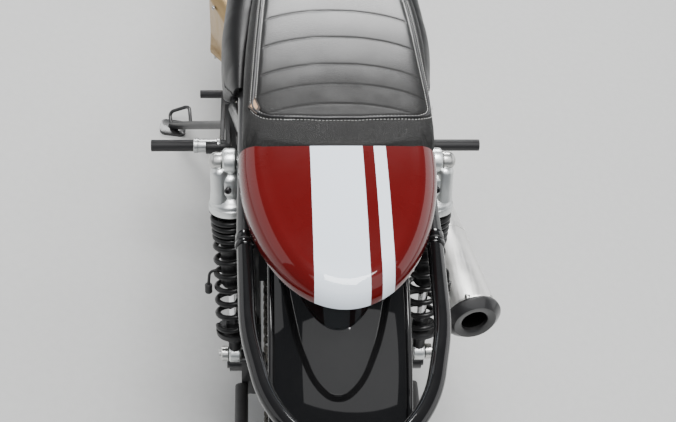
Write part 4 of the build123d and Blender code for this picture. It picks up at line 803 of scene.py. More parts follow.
class Repeater(Graph):
    """Geometry Nodes tree that sets one small piece along a path or at points."""

    # columns: name of the input, kind of its socket, default
    inputs = (("Guide", "Geometry", None), ("Item", "Object", None), ("Finish", "Material", None),
              ("Spacing", "Float", 5.0), ("Turn", "Float", 0.0))
    seed = 7

    def __init__(self, name: str, along_path: bool) -> None:
        """Build the tree.

        Args:
            name: Name of the tree.
            along_path: Whether the guide is a path that is divided, or points that are used as they are.
        """
        super().__init__(bpy.data.node_groups.new(name, "GeometryNodeTree"))
        face = self.tree.interface
        self.keys = {}
        for key, kind, value in self.inputs:
            socket = face.new_socket(key, in_out="INPUT", socket_type=f"NodeSocket{kind}")
            if value is not None:
                socket.default_value = value
            self.keys[key] = socket.identifier
        face.new_socket("Pieces", in_out="OUTPUT", socket_type="NodeSocketGeometry")
        given = self.node("NodeGroupInput").outputs
        outward = self.node("GeometryNodeInputNamedAttribute", {"Name": "outward"}, data_type="FLOAT_VECTOR")
        align = "FunctionNodeAlignRotationToVector"
        stand = self.node(align, {"Vector": outward.outputs["Attribute"]}, axis="Z")
        points, rotation = given["Guide"], stand.outputs["Rotation"]
        if along_path:
            curve = self.node("GeometryNodeMeshToCurve", {0: points}).outputs[0]
            divide = self.node("GeometryNodeResampleCurve", mode="LENGTH")
            self.feed(divide.inputs["Curve"], curve)
            self.feed(divide.inputs["Length"], given["Spacing"])
            tangent = self.node("GeometryNodeInputTangent").outputs[0]
            head = self.node(align, {"Rotation": rotation, "Vector": tangent}, axis="X", pivot_axis="Z")
            points, rotation = divide.outputs["Curve"], head.outputs["Rotation"]
        chance = self.node("FunctionNodeRandomValue", {"Seed": self.seed, "Max": given["Turn"]})
        spin = self.node("FunctionNodeAxisAngleToRotation",
                         {"Axis": AXIS_Z, "Angle": chance.outputs["Value"]})
        both = self.node("FunctionNodeRotateRotation",
                         {"Rotation": rotation, "Rotate By": spin.outputs["Rotation"]},
                         rotation_space="LOCAL")
        info = self.node("GeometryNodeObjectInfo", {"Object": given["Item"]})
        copies = self.node("GeometryNodeInstanceOnPoints", {
            "Points": points, "Instance": info.outputs["Geometry"], "Rotation": both.outputs["Rotation"]})
        solid = self.node("GeometryNodeRealizeInstances", {0: copies.outputs["Instances"]})
        paint = self.node("GeometryNodeSetMaterial",
                          {"Geometry": solid.outputs[0], "Material": given["Finish"]})
        self.node("NodeGroupOutput", {"Pieces": paint.outputs[0]})

    def run(self, name: str, item: bpy.types.Mesh, spots: list[tuple[Vector, Vector]], finish: str,
            body: Body, slot: str, spacing: float = 5.0, turn: float = 0.0,
            loop: bool = False) -> bpy.types.Object:
        """Set the copies, make them a plain mesh and place it.

        Args:
            name: Name of the piece.
            item: Mesh of one copy, its Z outwards and its X along the path.
            spots: Points of the guide, each with its outward direction.
            finish: Finish of the copies.
            body: The body that carries them.
            slot: The record's material slot; not used.
            spacing: Distance between copies on a path.
            turn: Largest random turn of a copy in radians.
            loop: Whether a path is closed.

        Returns:
            The placed object.
        """
        count = len(spots)
        edges = [(k, k + 1) for k in range(count - 1)] + ([(count - 1, 0)] if loop else [])
        data = bpy.data.meshes.new(name + "_guide")
        data.from_pydata([tuple(point) for point, _ in spots], edges, [])
        outward = data.attributes.new("outward", "FLOAT_VECTOR", "POINT")
        outward.data.foreach_set("vector", [c for _, way in spots for c in way])
        guide = bpy.data.objects.new(name + "_guide", data)
        holder = bpy.data.objects.new(name + "_item", item)
        for helper in (guide, holder):
            bpy.context.scene.collection.objects.link(helper)
        modifier = guide.modifiers.new("repeat", "NODES")
        modifier.node_group = self.tree
        values = {"Item": holder, "Finish": STOCK[finish], "Spacing": spacing, "Turn": turn}
        for key, value in values.items():
            modifier[self.keys[key]] = value
        graph = bpy.context.evaluated_depsgraph_get()
        made = bpy.data.meshes.new_from_object(guide.evaluated_get(graph))
        guide.modifiers.clear()
        for helper in (guide, holder):
            bpy.data.objects.remove(helper)
        if "outward" in made.attributes:
            made.attributes.remove(made.attributes["outward"])
        return settle(name, made, body)


AT_POINTS = Repeater("set_at_points", along_path=False)
ON_PATH = Repeater("set_on_path", along_path=True)

# rows: how far the foot is sunk, then height and radius of each ring as shares of the size, and its sides
FASTENERS = {
    "cap_screw": (0.5, (0.0, 1.0, 12), (0.75, 1.0, 12), (0.95, 0.86, 12), (0.95, 0.56, 6), (0.4, 0.5, 6),
                  (0.35, 0.0, 6)),
    "dome_nut": (0.5, (0.0, 1.3, 12), (0.16, 1.3, 12), (0.18, 1.0, 6), (0.7, 1.0, 6), (0.85, 0.82, 12),
                 (1.15, 0.62, 12), (1.35, 0.3, 12), (1.42, 0.0, 12)),
    "dome_rivet": (0.3, (0.0, 1.0, 12), (0.2, 1.0, 12), (0.45, 0.72, 12), (0.58, 0.36, 12), (0.6, 0.0, 12)),
}


def turned(name: str, profile: list[tuple[float, float, int]]) -> bpy.types.Mesh:
    """Stack rings of (height, radius, sides); six-sided rings make hexagons on twelve points.

    Args:
        name: Name of the mesh.
        profile: Height, radius and 6 or 12 sides of each ring.

    Returns:
        The fastener's mesh, its Z outwards.
    """
    forge = Forge(name)
    rings = []
    for height, radius, sides in profile:
        ring = []
        for k in range(12):
            angle = pi * k / 6
            reach = max(radius, THIN)
            if sides == 6 and k % 2:
                reach *= cos(pi / 6)
            ring.append(Vector((reach * cos(angle), reach * sin(angle), height)))
        rings.append(ring)
    forge.loft(rings)
    return forge.mesh(FASTENER_SHARP)


def fastener(kind: str, size: float) -> bpy.types.Mesh:
    """Return a screw, nut or rivet of the table, its foot sunk a little below its seat."""
    sink, foot, *rows = FASTENERS[kind]
    return turned(kind,
                  [(-sink, size * foot[1], foot[2]), *((size * h, size * r, sides) for h, r, sides in rows)])


def stitch(length: float, radius: float) -> bpy.types.Mesh:
    """Return one stitch of thread along X, its ends sunk in the leather."""
    forge = Forge("stitch")
    # columns: place along the stitch, height, thickness, as shares
    rows = ((-0.5, -1.0, 0.55), (-0.32, 0.1, 0.95), (0.0, 0.45, 1.0), (0.32, 0.1, 0.95), (0.5, -1.0, 0.55))
    forge.loft([[Vector((share * length, cos(a) * radius * thick, drop * radius + sin(a) * radius * thick))
                 for a in turns(6)] for share, drop, thick in rows])
    return forge.mesh(FASTENER_SHARP)


# Sub-assemblies


@dataclass
class Saddle:
    """Seat: padded hide with an insert of sewn channels, piping and two stitch rows round it."""

    rear: float = 15.4
    front: float = 611.0
    floor: float = 749.8
    # columns: Y, reach to the left, reach to the right, top
    stations: Table = (
        (15.0, 133.0, 138.0, 803.0), (60.0, 134.0, 140.0, 806.0), (180.0, 132.5, 143.0, 801.0),
        (260.0, 128.5, 145.0, 799.0), (360.0, 120.5, 138.0, 797.0), (500.0, 103.0, 116.0, 804.0),
        (611.0, 86.0, 90.0, 821.0))
    channel_rows: tuple[float, ...] = (82.0, 126.0, 172.0, 236.0, 302.0, 368.0, 434.0, 500.0)
    channel_bow: float = 0.0017
    rear_bow: float = 20.0
    row_offset: float = 3.7
    stitch_pitch: float = 5.0
    puff: float = 3.5
    crown: float = 4.0
    round_off: float = 13.0
    rear_half: float = 136.0
    bow_fade: float = 170.0
    insert_blend: float = 3.0
    facing: float = 0.25
    tag_place: tuple[float, float] = (-112.5, 84.0)
    tag_corners: tuple[tuple[float, float], ...] = ((-10.5, 2.8), (2.3, -18.1), (8.2, -6.8), (0.0, 22.1))
    outline: list[Vector] = field(default_factory=list)

    def section(self, y: float, share: float = 1.0) -> list[Vector]:
        """Return one ring of the pad, its top crowned and its sides tucked in below."""
        left, right, top = blend_rows(self.stations, y)
        ring = []
        height = top - self.floor
        for angle in turns(72, 0.5):
            c, s = cos(angle), sin(angle)
            x = abs(c) ** 0.42 * (1 if c > 0 else -1)
            z = abs(s) ** 0.5 * (1 if s > 0 else -1)
            tuck = 1.0 - 0.05 * max(0.0, -z) - 0.02 * max(0.0, z)
            crown = self.crown * (1 - x * x) - self.crown if z > 0 else 0.0
            half = right if x > 0 else left
            level = self.floor + height / 2 + z * height / 2 * share + crown * share
            ring.append(Vector((x * half * tuck * share, y, level)))
        return ring

    def pad(self) -> bpy.types.Mesh:
        """Return the plain pad in millimetres, with rounded ends."""
        forge = Forge("seat_hide")
        rings = []
        steps = 84
        for k in range(5):
            share = (k + 0.2) / 5
            rings.append(self.section(self.rear, share * 0.9))
        for k in range(5):
            angle = pi / 2 * k / 5
            inset = self.round_off * (1 - sin(angle))
            y = self.rear + self.round_off * (1 - cos(angle))
            rings.append(self.section(y, 1 - inset / 130.0))
        start, end = self.rear + self.round_off, self.front - 20.0
        for k in range(steps + 1):
            rings.append(self.section(start + (end - start) * k / steps))
        for k in range(1, 6):
            angle = pi / 2 * k / 5
            rings.append(self.section(end + 20.0 * sin(angle), 1 - 0.16 * (1 - cos(angle))))
        for share in (0.6, 0.35, 0.12):
            rings.append(self.section(self.front, 0.84 * share))
        forge.loft(rings)
        for vertex in forge.verts:
            vertex.y += self.bowed(vertex.x, vertex.y)
        return forge.mesh(60.0)

    def swell(self, data: bpy.types.Mesh) -> None:
        """Blow the hide up by a short cloth simulation, each point held to a small move."""
        piece = bpy.data.objects.new("hide_sim", data)
        bpy.context.scene.collection.objects.link(piece)
        pins = piece.vertex_groups.new(name="pins")
        held = [v.index for v in data.vertices
                if v.co.z < self.floor + 5.0 or v.co.y < self.rear + self.bowed(v.co.x, v.co.y) + 2.0]
        pins.add(held, 1.0, "REPLACE")
        rest = [v.co.copy() for v in data.vertices]
        data.transform(Matrix.Scale(0.01, 4))
        cloth = piece.modifiers.new("hide", "CLOTH")
        settings = {"vertex_group_mass": "pins", "use_pressure": True, "uniform_pressure_force": 3.0,
                    "tension_stiffness": 25.0, "bending_stiffness": 3.0}
        for key, value in settings.items():
            setattr(cloth.settings, key, value)
        cloth.settings.effector_weights.gravity = 0.0
        cloth.collision_settings.use_self_collision = False
        scene = bpy.context.scene
        for step in range(1, 15):
            scene.frame_set(step)
        graph = bpy.context.evaluated_depsgraph_get()
        moved = [v.co * 100.0 for v in piece.evaluated_get(graph).data.vertices]
        piece.modifiers.clear()
        scene.frame_set(1)
        data.transform(Matrix.Scale(100.0, 4))
        for vertex, start, end in zip(data.vertices, rest, moved):
            step = end - start
            if step.length > self.puff:
                step *= self.puff / step.length
            vertex.co = start + step
        bpy.data.objects.remove(piece)

    def bowed(self, x: float, y: float) -> float:
        """Return how far a place moves back to follow the cowl's bowed front edge."""
        radius = (self.rear_half ** 2 + self.rear_bow ** 2) / (2 * self.rear_bow)
        reach = min(abs(x), self.rear_half)
        fade = max(0.0, 1 - (y - self.rear) / self.bow_fade)
        return -(self.rear_bow - radius + sqrt(radius ** 2 - reach ** 2)) * fade ** 1.5

    def piping_path(self) -> list[Vector]:
        """Return the plan of the insert's edge as one closed, evenly stepped path."""
        # columns: X, Y, bend radius at each corner
        corners = ((4.0, 46.5, 700.0), (134.5, 62.0, 32.0), (133.0, 118.0, 900.0), (122.5, 331.0, 900.0),
                   (104.0, 450.0, 700.0), (86.0, 584.0, 50.0), (-80.0, 584.0, 50.0), (-92.0, 450.0, 700.0),
                   (-102.5, 331.0, 900.0), (-110.0, 211.0, 900.0), (-117.5, 60.0, 34.0))
        start = Vector((-62.0, 53.5, 0.0))
        points = [start, *(Vector((x, y, 0.0)) for x, y, _ in corners), start.copy()]
        rough = bend_path(points, [bend for _, _, bend in corners], 5.0)
        path, spare = [], 0.0
        for a, b in zip(rough, rough[1:]):
            length = (b - a).length
            while spare < length:
                path.append(a.lerp(b, spare / length))
                spare += self.stitch_pitch
            spare -= length
        return path

    def relief(self, x: float, y: float) -> tuple[float, float]:
        """Return the hide's height change at a place of its top, and how far inside the insert it is."""
        nearest, inside = 1e9, False
        path = self.outline
        count = len(path)
        for index in range(count):
            a, b = path[index], path[(index + 1) % count]
            dx, dy = b.x - a.x, b.y - a.y
            t = max(0.0, min(1.0, ((x - a.x) * dx + (y - a.y) * dy) / max(1e-9, dx * dx + dy * dy)))
            gap = (x - a.x - dx * t) ** 2 + (y - a.y - dy * t) ** 2
            nearest = min(nearest, gap)
            if (a.y > y) != (b.y > y) and x < a.x + (y - a.y) / (b.y - a.y) * dx:
                inside = not inside
        distance = sqrt(nearest)
        height = -1.7 * exp(-((distance - self.row_offset) / 1.4) ** 2) + 0.9 * exp(-(distance / 1.8) ** 2)
        if not inside:
            return height, -distance
        bowed = y + self.channel_bow * (x - 6.0) ** 2
        fade = min(1.0, max(0.0, (distance - 5.0) / 5.0))
        rows = self.channel_rows
        for row in rows:
            height -= 1.0 * fade * exp(-((bowed - row) / 1.3) ** 2)
        for low, high in zip(rows, rows[1:]):
            if low < bowed < high:
                height += 0.8 * fade * sin(pi * (bowed - low) / (high - low)) ** 0.7
        return height, distance

    def build(self) -> None:
        """Make the hide, its piping, its stitches and the tag."""
        data = self.pad()
        self.swell(data)
        work = bmesh.new()
        work.from_mesh(data)
        bmesh.ops.subdivide_edges(work, edges=work.edges, cuts=1, use_grid_fill=True, smooth=1.0)
        bmesh.ops.recalc_face_normals(work, faces=work.faces)
        long_edges = [e for e in work.edges
                      if e.calc_length() > 2.6 and e.verts[0].normal.z + e.verts[1].normal.z > 0.8]
        bmesh.ops.subdivide_edges(work, edges=long_edges, cuts=1, use_grid_fill=True, smooth=0.0)
        work.normal_update()
        self.outline = self.piping_path()
        inner = work.verts.layers.float.new("insert")
        for vertex in work.verts:
            facing = vertex.normal.z
            if facing < self.facing:
                continue
            height, inside = self.relief(vertex.co.x, vertex.co.y)
            vertex[inner] = max(0.0, min(1.0, inside / self.insert_blend))
            vertex.co += AXIS_Z * (height * min(1.0, (facing - self.facing) * 2.5))
        work.to_mesh(data)
        tree = BVHTree.FromBMesh(work)
        work.free()
        data.materials.append(STOCK["seat_hide"])
        data.shade_smooth()
        hide = settle("seat_hide", data, Body.CHASSIS, ("seat_pad",))
        self.trim(tree)

    def on_top(self, tree: BVHTree, point: Vector) -> tuple[Vector, Vector]:
        """Drop a plan point on the hide, with the hide's normal there."""
        spot, normal, _, _ = tree.ray_cast(Vector((point.x, point.y, 900.0)), Vector((0, 0, -1)))
        return (spot, normal) if spot else (Vector((point.x, point.y, 795.0)), AXIS_Z)

    def trim(self, tree: BVHTree) -> None:
        """Lay the piping, the stitch rows and the tag on the hide."""
        count = len(self.outline)
        piping = [self.on_top(tree, point)[0] + AXIS_Z * 0.2 for point in self.outline]
        forge = Forge("seat_piping", "piping_hide")
        forge.tube(piping, 1.7, 10, loop=True)
        forge.place(Body.CHASSIS, "seat_leather")
        item = stitch(3.1, 0.5)
        for label, offset in (("inner", 1.0), ("outer", -1.0)):
            spots = []
            for index, point in enumerate(self.outline):
                ahead = self.outline[(index + 1) % count] - self.outline[index - 1]
                out = Vector((-ahead.y, ahead.x, 0.0)).normalized() * self.row_offset * offset
                spot, normal = self.on_top(tree, point + out)
                spots.append((spot + normal * 0.35, normal))
            ON_PATH.run(f"seat_stitches_{label}", item, spots, "stitch_thread", Body.CHASSIS, "seat_leather",
                        spacing=self.stitch_pitch, loop=True)
        forge = Forge("seat_tag", "tag_dark", "tag_tan")
        middle, normal = self.on_top(tree, Vector((*self.tag_place, 0.0)))
        across = (AXIS_X - normal * AXIS_X.dot(normal)).normalized()
        up = normal.cross(across)
        forge.slab(list(self.tag_corners), middle + normal * 0.6, across, up, 1.8, 0.7)
        patch = [(x * 0.62, y * 0.62) for x, y in self.tag_corners]
        forge.slab(patch, middle + normal * 2.4, across, up, 0.5, 0.3, 1)
        forge.place(Body.CHASSIS, "seat_leather")


@dataclass
class Cowl:
    """Rounded tail cowl with its stripes; its front edge bows back towards the middle."""

    front: float = 15.0
    half_width: float = 136.0
    length: float = 249.0
    base: float = 748.0
    top: float = 812.0
    crown: float = 430.0
    drop: float = 760.0
    shoulder: float = 34.0
    bow: float = 20.0
    seam: float = 0.9

    def height(self, x: float, y: float) -> float:
        """Return the crowned top's height at a place."""
        radius = self.drop - self.crown + sqrt(self.crown ** 2 - x * x)
        return self.top - self.drop + sqrt(radius ** 2 - (y - self.front) ** 2)

    def front_edge(self, x: float) -> float:
        """Return where the bowed front edge runs at a distance from the middle."""
        radius = (self.half_width ** 2 + self.bow ** 2) / (2 * self.bow)
        return self.front - self.bow + radius - sqrt(max(0.0, radius ** 2 - x * x)) - self.seam

    def outline(self, inset: float, turn: float) -> Vector:
        """Return a place on the plan's outline, drawn in by an inset and clipped at the front edge."""
        x = (self.half_width - inset) * cos(turn)
        reach = abs(sin(turn))
        y = self.front - (self.length - inset) * reach + (self.front_edge(x) - self.front) * (1 - reach) ** 8
        return Vector((x, y, 0.0))

    def build(self) -> None:
        """Make the shell, crowned above and with a rolled lower lip."""
        forge = Forge("tail_cowl_shell", "racing_red")
        steps, spans, rows = 88, 14, 12
        columns = []
        for k in range(steps + 1):
            turn = pi + pi * k / steps
            edge = self.outline(self.shoulder, turn)
            low = self.height(edge.x, edge.y) - self.shoulder
            floor = max(self.base + 1.4, low)
            column = []
            for inset, z in ((5.0, self.base + 3.0), (3.2, self.base + 0.2), (1.2, self.base),
                             (0.2, self.base + 1.0), (0.0, floor)):
                spot = self.outline(inset, turn)
                column.append(Vector((spot.x, spot.y, z)))
            for part in range(1, rows + 1):
                roll = pi / 2 * part / rows
                spot = self.outline(self.shoulder * (1 - cos(roll)), turn)
                column.append(Vector((spot.x, spot.y,
                                      max(low + self.shoulder * sin(roll), self.base + 1.4 + part * 0.02))))
            for part in range(1, spans + 1):
                share = 1 - part / spans
                x = edge.x * share
                y = self.front_edge(x) + (edge.y - self.front_edge(edge.x)) * share
                column.append(Vector((x, y, self.height(x, y))))
            columns.append(column)
        size = len(columns[0])
        verts = [point for column in columns for point in column]
        faces = []
        for k in range(steps):
            for row in range(size - 1):
                start = k * size + row
                faces.append((start, start + 1, start + size + 1, start + size))
        rim = columns[0] + columns[-1][-2::-1]
        limit = abs(rim[0].x)
        sill = [Vector((max(-limit, min(limit, point.x)), point.y, rim[0].z)) for point in rim]
        sill = [rim[0] if point.x <= -limit else rim[-1] if point.x >= limit else point for point in sill]
        forge.add(verts, faces)
        for a, b, c, d in zip(rim, rim[1:], sill[1:], sill):
            forge.add([a, b, c, d], [(0, 1, 2, 3)])
        inside = [point for point in reversed(sill) if abs(point.x) < limit]
        ring = [column[0] for column in columns] + inside
        forge.add(ring, [tuple(range(len(ring)))])
        forge.place(Body.CHASSIS, "red_paint", ("tail_cowl",), sharp=30.0)


@dataclass
class Fender:
    """Arched fender with rolled lips, about an axle."""

    name: str
    node: str
    axle: Vector
    radius: float
    half_width: float
    crown: float
    start: float
    sweep: float
    body: Body
    thickness: float = 3.0
    bead: float = 4.2

    def profile(self) -> Profile:
        """Return the closed section as (X, radius)."""
        flat = self.half_width - 2 * self.bead
        ball = (flat ** 2 + self.crown ** 2) / (2 * self.crown)
        edge = self.radius - self.crown
        outer = []
        for k in range(25):
            x = -flat + 2 * flat * k / 24
            outer.append((x, self.radius - ball + sqrt(ball ** 2 - x * x)))
        rolled = []
        for k in range(13):
            turn = radians(130.0 - 290.0 * k / 12)
            rolled.append((flat + self.bead + self.bead * cos(turn), edge - 1.0 + self.bead * sin(turn)))
        inner = []
        for k in range(17):
            x = flat - 1.0 - 2 * (flat - 1.0) * k / 16
            inner.append((x, self.radius - ball + sqrt(ball ** 2 - x * x) - self.thickness))
        return [*outer, *rolled, *inner, *mirrored(rolled)]

    def build(self) -> None:
        """Make the arch."""
        forge = Forge(self.name, "gloss_black_lacquer")
        steps = int(self.sweep)
        rings = []
        for k in range(steps + 1):
            angle = radians(self.start + self.sweep * k / steps)
            rings.append([around(self.axle, x, r, angle) for x, r in self.profile()])
        forge.loft(rings)
        forge.place(self.body, "gloss_black", (self.node,), sharp=40.0)


@dataclass
class GrabLoop:
    """Hoop behind the seat rails with its stepped sleeves and joint rings."""

    height: float = 728.0
    tube_radius: float = 11.0
    rail_x: float = 127.0
    joint_y: float = -102.0
    # columns: X, Y, bend radius
    corners: tuple[Triple, ...] = ((122.5, -250.0, 330.0), (96.5, -366.0, 170.0), (34.5, -427.0, 79.0))

    def build(self) -> None:
        """Make the hoop."""
        right = [Vector((x, y, self.height)) for x, y, _ in self.corners]
        left = [side_of(point, Side.LEFT) for point in reversed(right)]
        bends = [bend for _, _, bend in self.corners]
        ends = Vector((self.rail_x, self.joint_y + 11.0, self.height))
        path = bend_path([ends, *right, *left, side_of(ends, Side.LEFT)], bends + bends[::-1], 3.0)
        forge = Forge("grab_loop", "gloss_black_lacquer", "satin_black")
        forge.tube(path, self.tube_radius, 28)
        for side in Side:
            start = side_of((self.rail_x, self.joint_y + 11.7, self.height), side)
            forge.lathe([(0.0, 11.0), (0.0, 11.8), (1.2, 12.3), (11.0, 12.3), (12.0, 12.0), (12.4, 11.5),
                         (14.6, 11.5), (15.0, 12.2), (16.0, 12.8), (21.5, 12.8), (22.6, 12.2), (23.0, 11.0)],
                         start, -AXIS_Y, 36, 0)
            forge.ring([(12.2, 11.4), (12.2, 12.6), (14.8, 12.6), (14.8, 11.4)], start, -AXIS_Y, 36, 1)
        forge.place(Body.CHASSIS, "gloss_black", ("rear_loop",))


@dataclass
class Shock:
    """Coil-over shock of one side: eyes, adjuster, notched collar, spring, damper and foot."""

    side: Side
    top: Triple = (150.5, 84.0, 695.0)
    bottom: Triple = (148.0, -18.0, 362.0)
    spring_start: float = 80.0
    spring_foot: float = 52.0
    wire: float = 4.4
    spring_top: float = 28.0
    spring_low: float = 25.0
    eye_half: float = 10.0

    def build(self) -> None:
        """Make the alloy parts, the spring and the fixings."""
        top, bottom = side_of(self.top, self.side), side_of(self.bottom, self.side)
        along = (bottom - top).normalized()
        length = (bottom - top).length
        label = self.side.name.lower()
        out = AXIS_X * self.side.value
        back = AXIS_X.cross(along).normalized()
        back = back if back.y < 0 else -back
        forge = Forge(f"shock_body_{label}", "shock_alloy", "satin_black", "dark_bolt", "chrome")
        half = self.eye_half
        for end, sides, edge in (
                (top, 48, [(half - 5.5, 19.0), (half - 2.5, 18.4), (half, 15.5), (half, 7.4)]),
                (bottom, 40, [(half - 3.0, 13.8), (half, 11.5), (half, 7.4)])):
            forge.ring(mirrored(edge) + edge, end, AXIS_X, sides)
        forge.lathe([(13.0, 9.0), (16.0, 13.0), (19.0, 17.5), (22.0, 20.2), (26.0, 21.0), (44.0, 21.2),
                     (47.0, 20.4), (50.0, 19.0), (54.0, 19.0), (56.0, 20.5), (59.0, 25.0), (62.0, 29.6),
                     (64.0, 30.6), (68.0, 31.0), (69.0, 32.4), (77.0, 33.0), (79.0, 32.4), (79.7, 30.5),
                     (79.7, 17.0)], top, along, 64, 0)
        forge.lathe([(79.0, 20.5), (118.0, 20.5), (119.0, 19.5), (119.5, 17.6), (211.0, 17.4), (214.0, 16.0),
                      (215.0, 8.0)], top, along, 40, 1)
        forge.lathe([(214.0, 7.4), (length - 50.0, 7.4)], top, along, 24, 3)
        foot = length - self.spring_foot
        forge.lathe([(foot - 14.0, 13.0), (foot + 0.4, 13.0), (foot + 0.6, 28.4), (foot + 3.0, 29.0),
                     (foot + 9.0, 28.0), (foot + 12.0, 22.0), (foot + 22.0, 13.5), (foot + 28.0, 10.0),
                     (length - 11.0, 9.4), (length - 8.5, 8.5)], top, along, 44, 1)
        adjuster = top + out * 14.5 + back * 7.0 + along * 4.0
        forge.lathe([(0.0, 0.0), (0.8, 6.4), (3.2, 10.6), (7.0, 12.9), (11.0, 13.6), (42.0, 14.4),
                     (56.0, 15.5), (60.0, 10.0)], adjuster, along, 44, 0)
        across, up = frame_about(along)
        for angle in turns(10):
            way = across * cos(angle) + up * sin(angle)
            forge.lathe([(-1.0, 2.4), (0.5, 2.4), (0.55, 0.0)], top + along * 73.5 + way * 32.0, way, 10, 1)
        forge.place(Body.CHASSIS, "polished_alloy", () if self.side is Side.LEFT else ("shock_bodies",))
        self.spring(top, along, length, label)
        self.fixings(top, bottom, along, back, out, label)

    def spring(self, top: Vector, along: Vector, length: float, label: str) -> None:
        """Wind the spring, close coils at its top and open ones below."""
        start = self.spring_start + self.wire
        end = length - self.spring_foot - self.wire
        across, up = frame_about(along)
        close, pitch = 4.5, 10.4
        coils = 11.0
        spread = (end - start - close * pitch) / (coils - close)
        path = []
        count = int(coils * 22)
        for k in range(count + 1):
            turn = coils * k / count
            blend = max(0.0, turn - close)
            rise = min(turn, close) * pitch + blend * spread
            radius = self.spring_low + (self.spring_top - self.spring_low) * max(0.0, 1 - turn / close)
            angle = 2 * pi * turn
            path.append(top + along * (start + rise) + (across * cos(angle) + up * sin(angle)) * radius)
        forge = Forge(f"shock_spring_{label}", "spring_coat")
        forge.tube(path, self.wire, 12)
        forge.place(Body.CHASSIS, "spring_black", () if self.side is Side.LEFT else ("shock_springs",))

    def fixings(self, top: Vector, bottom: Vector, along: Vector, back: Vector, out: Vector,
                label: str) -> None:
        """Set the acorn nuts, the adjuster's arm and knob and the socket screws."""
        forge = Forge(f"shock_nuts_{label}", "zinc_bolt")
        half = self.eye_half
        forge.ring([(half + 0.6, 7.6), (half + 0.6, 15.0), (half + 2.2, 15.4), (half + 2.6, 14.0),
                    (half + 2.6, 7.6)], top, out, 40)
        upper = ((2.4, 13.2), (11.5, 13.2), (14.5, 12.0), (18.0, 8.8), (20.0, 4.6), (20.6, 0.0))
        lower = ((1.0, 12.6), (10.2, 12.6), (12.0, 10.4), (12.2, 8.2), (15.4, 7.8), (15.8, 0.0))
        for end, nut in ((top, upper), (bottom, lower)):
            forge.lathe([(half + distance, radius) for distance, radius in nut], end, out, 36)
        forge.place(Body.CHASSIS, "polished_alloy")
        slant = (back * 0.99 + out * 0.12).normalized()
        screw = [(top + along * 37.0 + slant * 21.0, slant)]
        AT_POINTS.run(f"shock_screw_{label}", fastener("cap_screw", 5.0), screw, "dark_bolt", Body.CHASSIS,
                       "polished_alloy")
        forge = Forge(f"shock_knob_{label}", "satin_black")
        length = (bottom - top).length
        at = top + along * (length - 158.0) + out * 16.0
        elbow = at + out * 19.0 - along * 2.0
        tip = elbow + along * 26.0 + out * 3.0
        forge.tube(bend_path([at, elbow, tip], [10.0], 12.0), 2.3, 10)
        forge.lathe([(-1.0, 0.0), (-0.6, 4.6), (1.0, 5.8), (14.0, 5.8), (15.5, 4.8), (16.0, 0.0)], tip, along,
                     20)
        forge.place(Body.CHASSIS, "polished_alloy")


@dataclass
class Silencer:
    """Brushed muffler with its band, screws and conical end cap."""

    end: Triple = (230.0, -24.0, 443.0)
    splay: float = 10.0
    rise: float = 3.0
    radius: float = 42.0
    length: float = 270.0
    cone: float = 50.0
    bore: float = 21.0
    pipe: float = 24.0
    cap_length: float = 16.0
    cap_lip: float = 36.0
    cap_radius: float = 46.0

    def build(self) -> None:
        """Make the can, the cap and the screws."""
        along = Vector((-sin(radians(self.splay)), cos(radians(self.splay)),
                        -sin(radians(self.rise)))).normalized()
        origin = Vector(self.end)
        r, length, seam = self.radius, self.length, self.cap_length
        forge = Forge("muffler_can", "brushed_steel", "satin_black")
        forge.ring([(seam + 0.2, self.bore + 1.2), (seam + 0.2, r - 1.0), (seam + 1.6, r), (seam + 4.0, r),
                    (seam + 5.0, r - 0.6), (seam + 6.4, r - 0.6), (seam + 7.4, r), (length - 14.0, r),
                    (length - 6.0, r - 0.6), (length, r - 2.6), (length + 12.0, r - 6.0),
                    (length + self.cone - 6.0, self.pipe + 5.0), (length + self.cone, self.pipe + 2.6),
                    (length + self.cone, self.bore + 1.2)], origin, along, 96, 0)
        forge.ring([(0.0, r - 1.0), (0.0, r + 0.8), (14.0, r + 0.8), (14.0, r - 1.0)], origin + along * 178.0,
                    along, 72, 0)
        forge.place(Body.CHASSIS, "exhaust_steel", ("muffler",))
        cap = Forge("muffler_tip", "frame_coat", "soot")
        cap.ring([(8.0, self.bore), (3.0, self.bore + 0.8), (1.2, self.bore + 4.0), (0.2, self.cap_lip - 4.0),
                   (0.0, self.cap_lip - 2.0), (1.6, self.cap_lip), (9.5, self.cap_radius - 1.4),
                  (11.5, self.cap_radius), (15.0, self.cap_radius), (seam, self.cap_radius - 1.2),
                  (seam, self.bore)], origin, along, 80, 0)
        # The bore is lined with a near-black sleeve closed 118 mm in: partly real soot, partly painted shade
        # deep in the pipe.
        cap.lathe([(118.0, 0.0), (118.0, self.bore - 0.5), (9.0, self.bore - 0.5), (9.0, self.bore + 0.5),
                   (119.0, self.bore + 0.5), (119.0, 0.0)], origin, along, 48, 1)
        cap.place(Body.CHASSIS, "satin_black", ("muffler_end_cap",))
        across, up = frame_about(along)
        spots = []
        for angle in turns(6, 0.25):
            way = across * cos(angle) + up * sin(angle)
            spots.append((origin + along * (seam + 6.0) + way * (r - 0.4), way))
        AT_POINTS.run("muffler_screws", fastener("dome_rivet", 4.6), spots, "zinc_bolt", Body.CHASSIS,
                       "exhaust_steel")
        hanger = Vector((-1.0, 0.0, 0.75))
        inward = (hanger - along * hanger.dot(along)).normalized()
        spots = [(origin + along * 92.0 + inward * r, inward),
                 (origin + along * 185.0 + inward * (r + 0.6), inward)]
        AT_POINTS.run("muffler_hanger_bolts", fastener("dome_nut", 6.4), spots, "zinc_bolt", Body.CHASSIS,
                       "exhaust_steel")


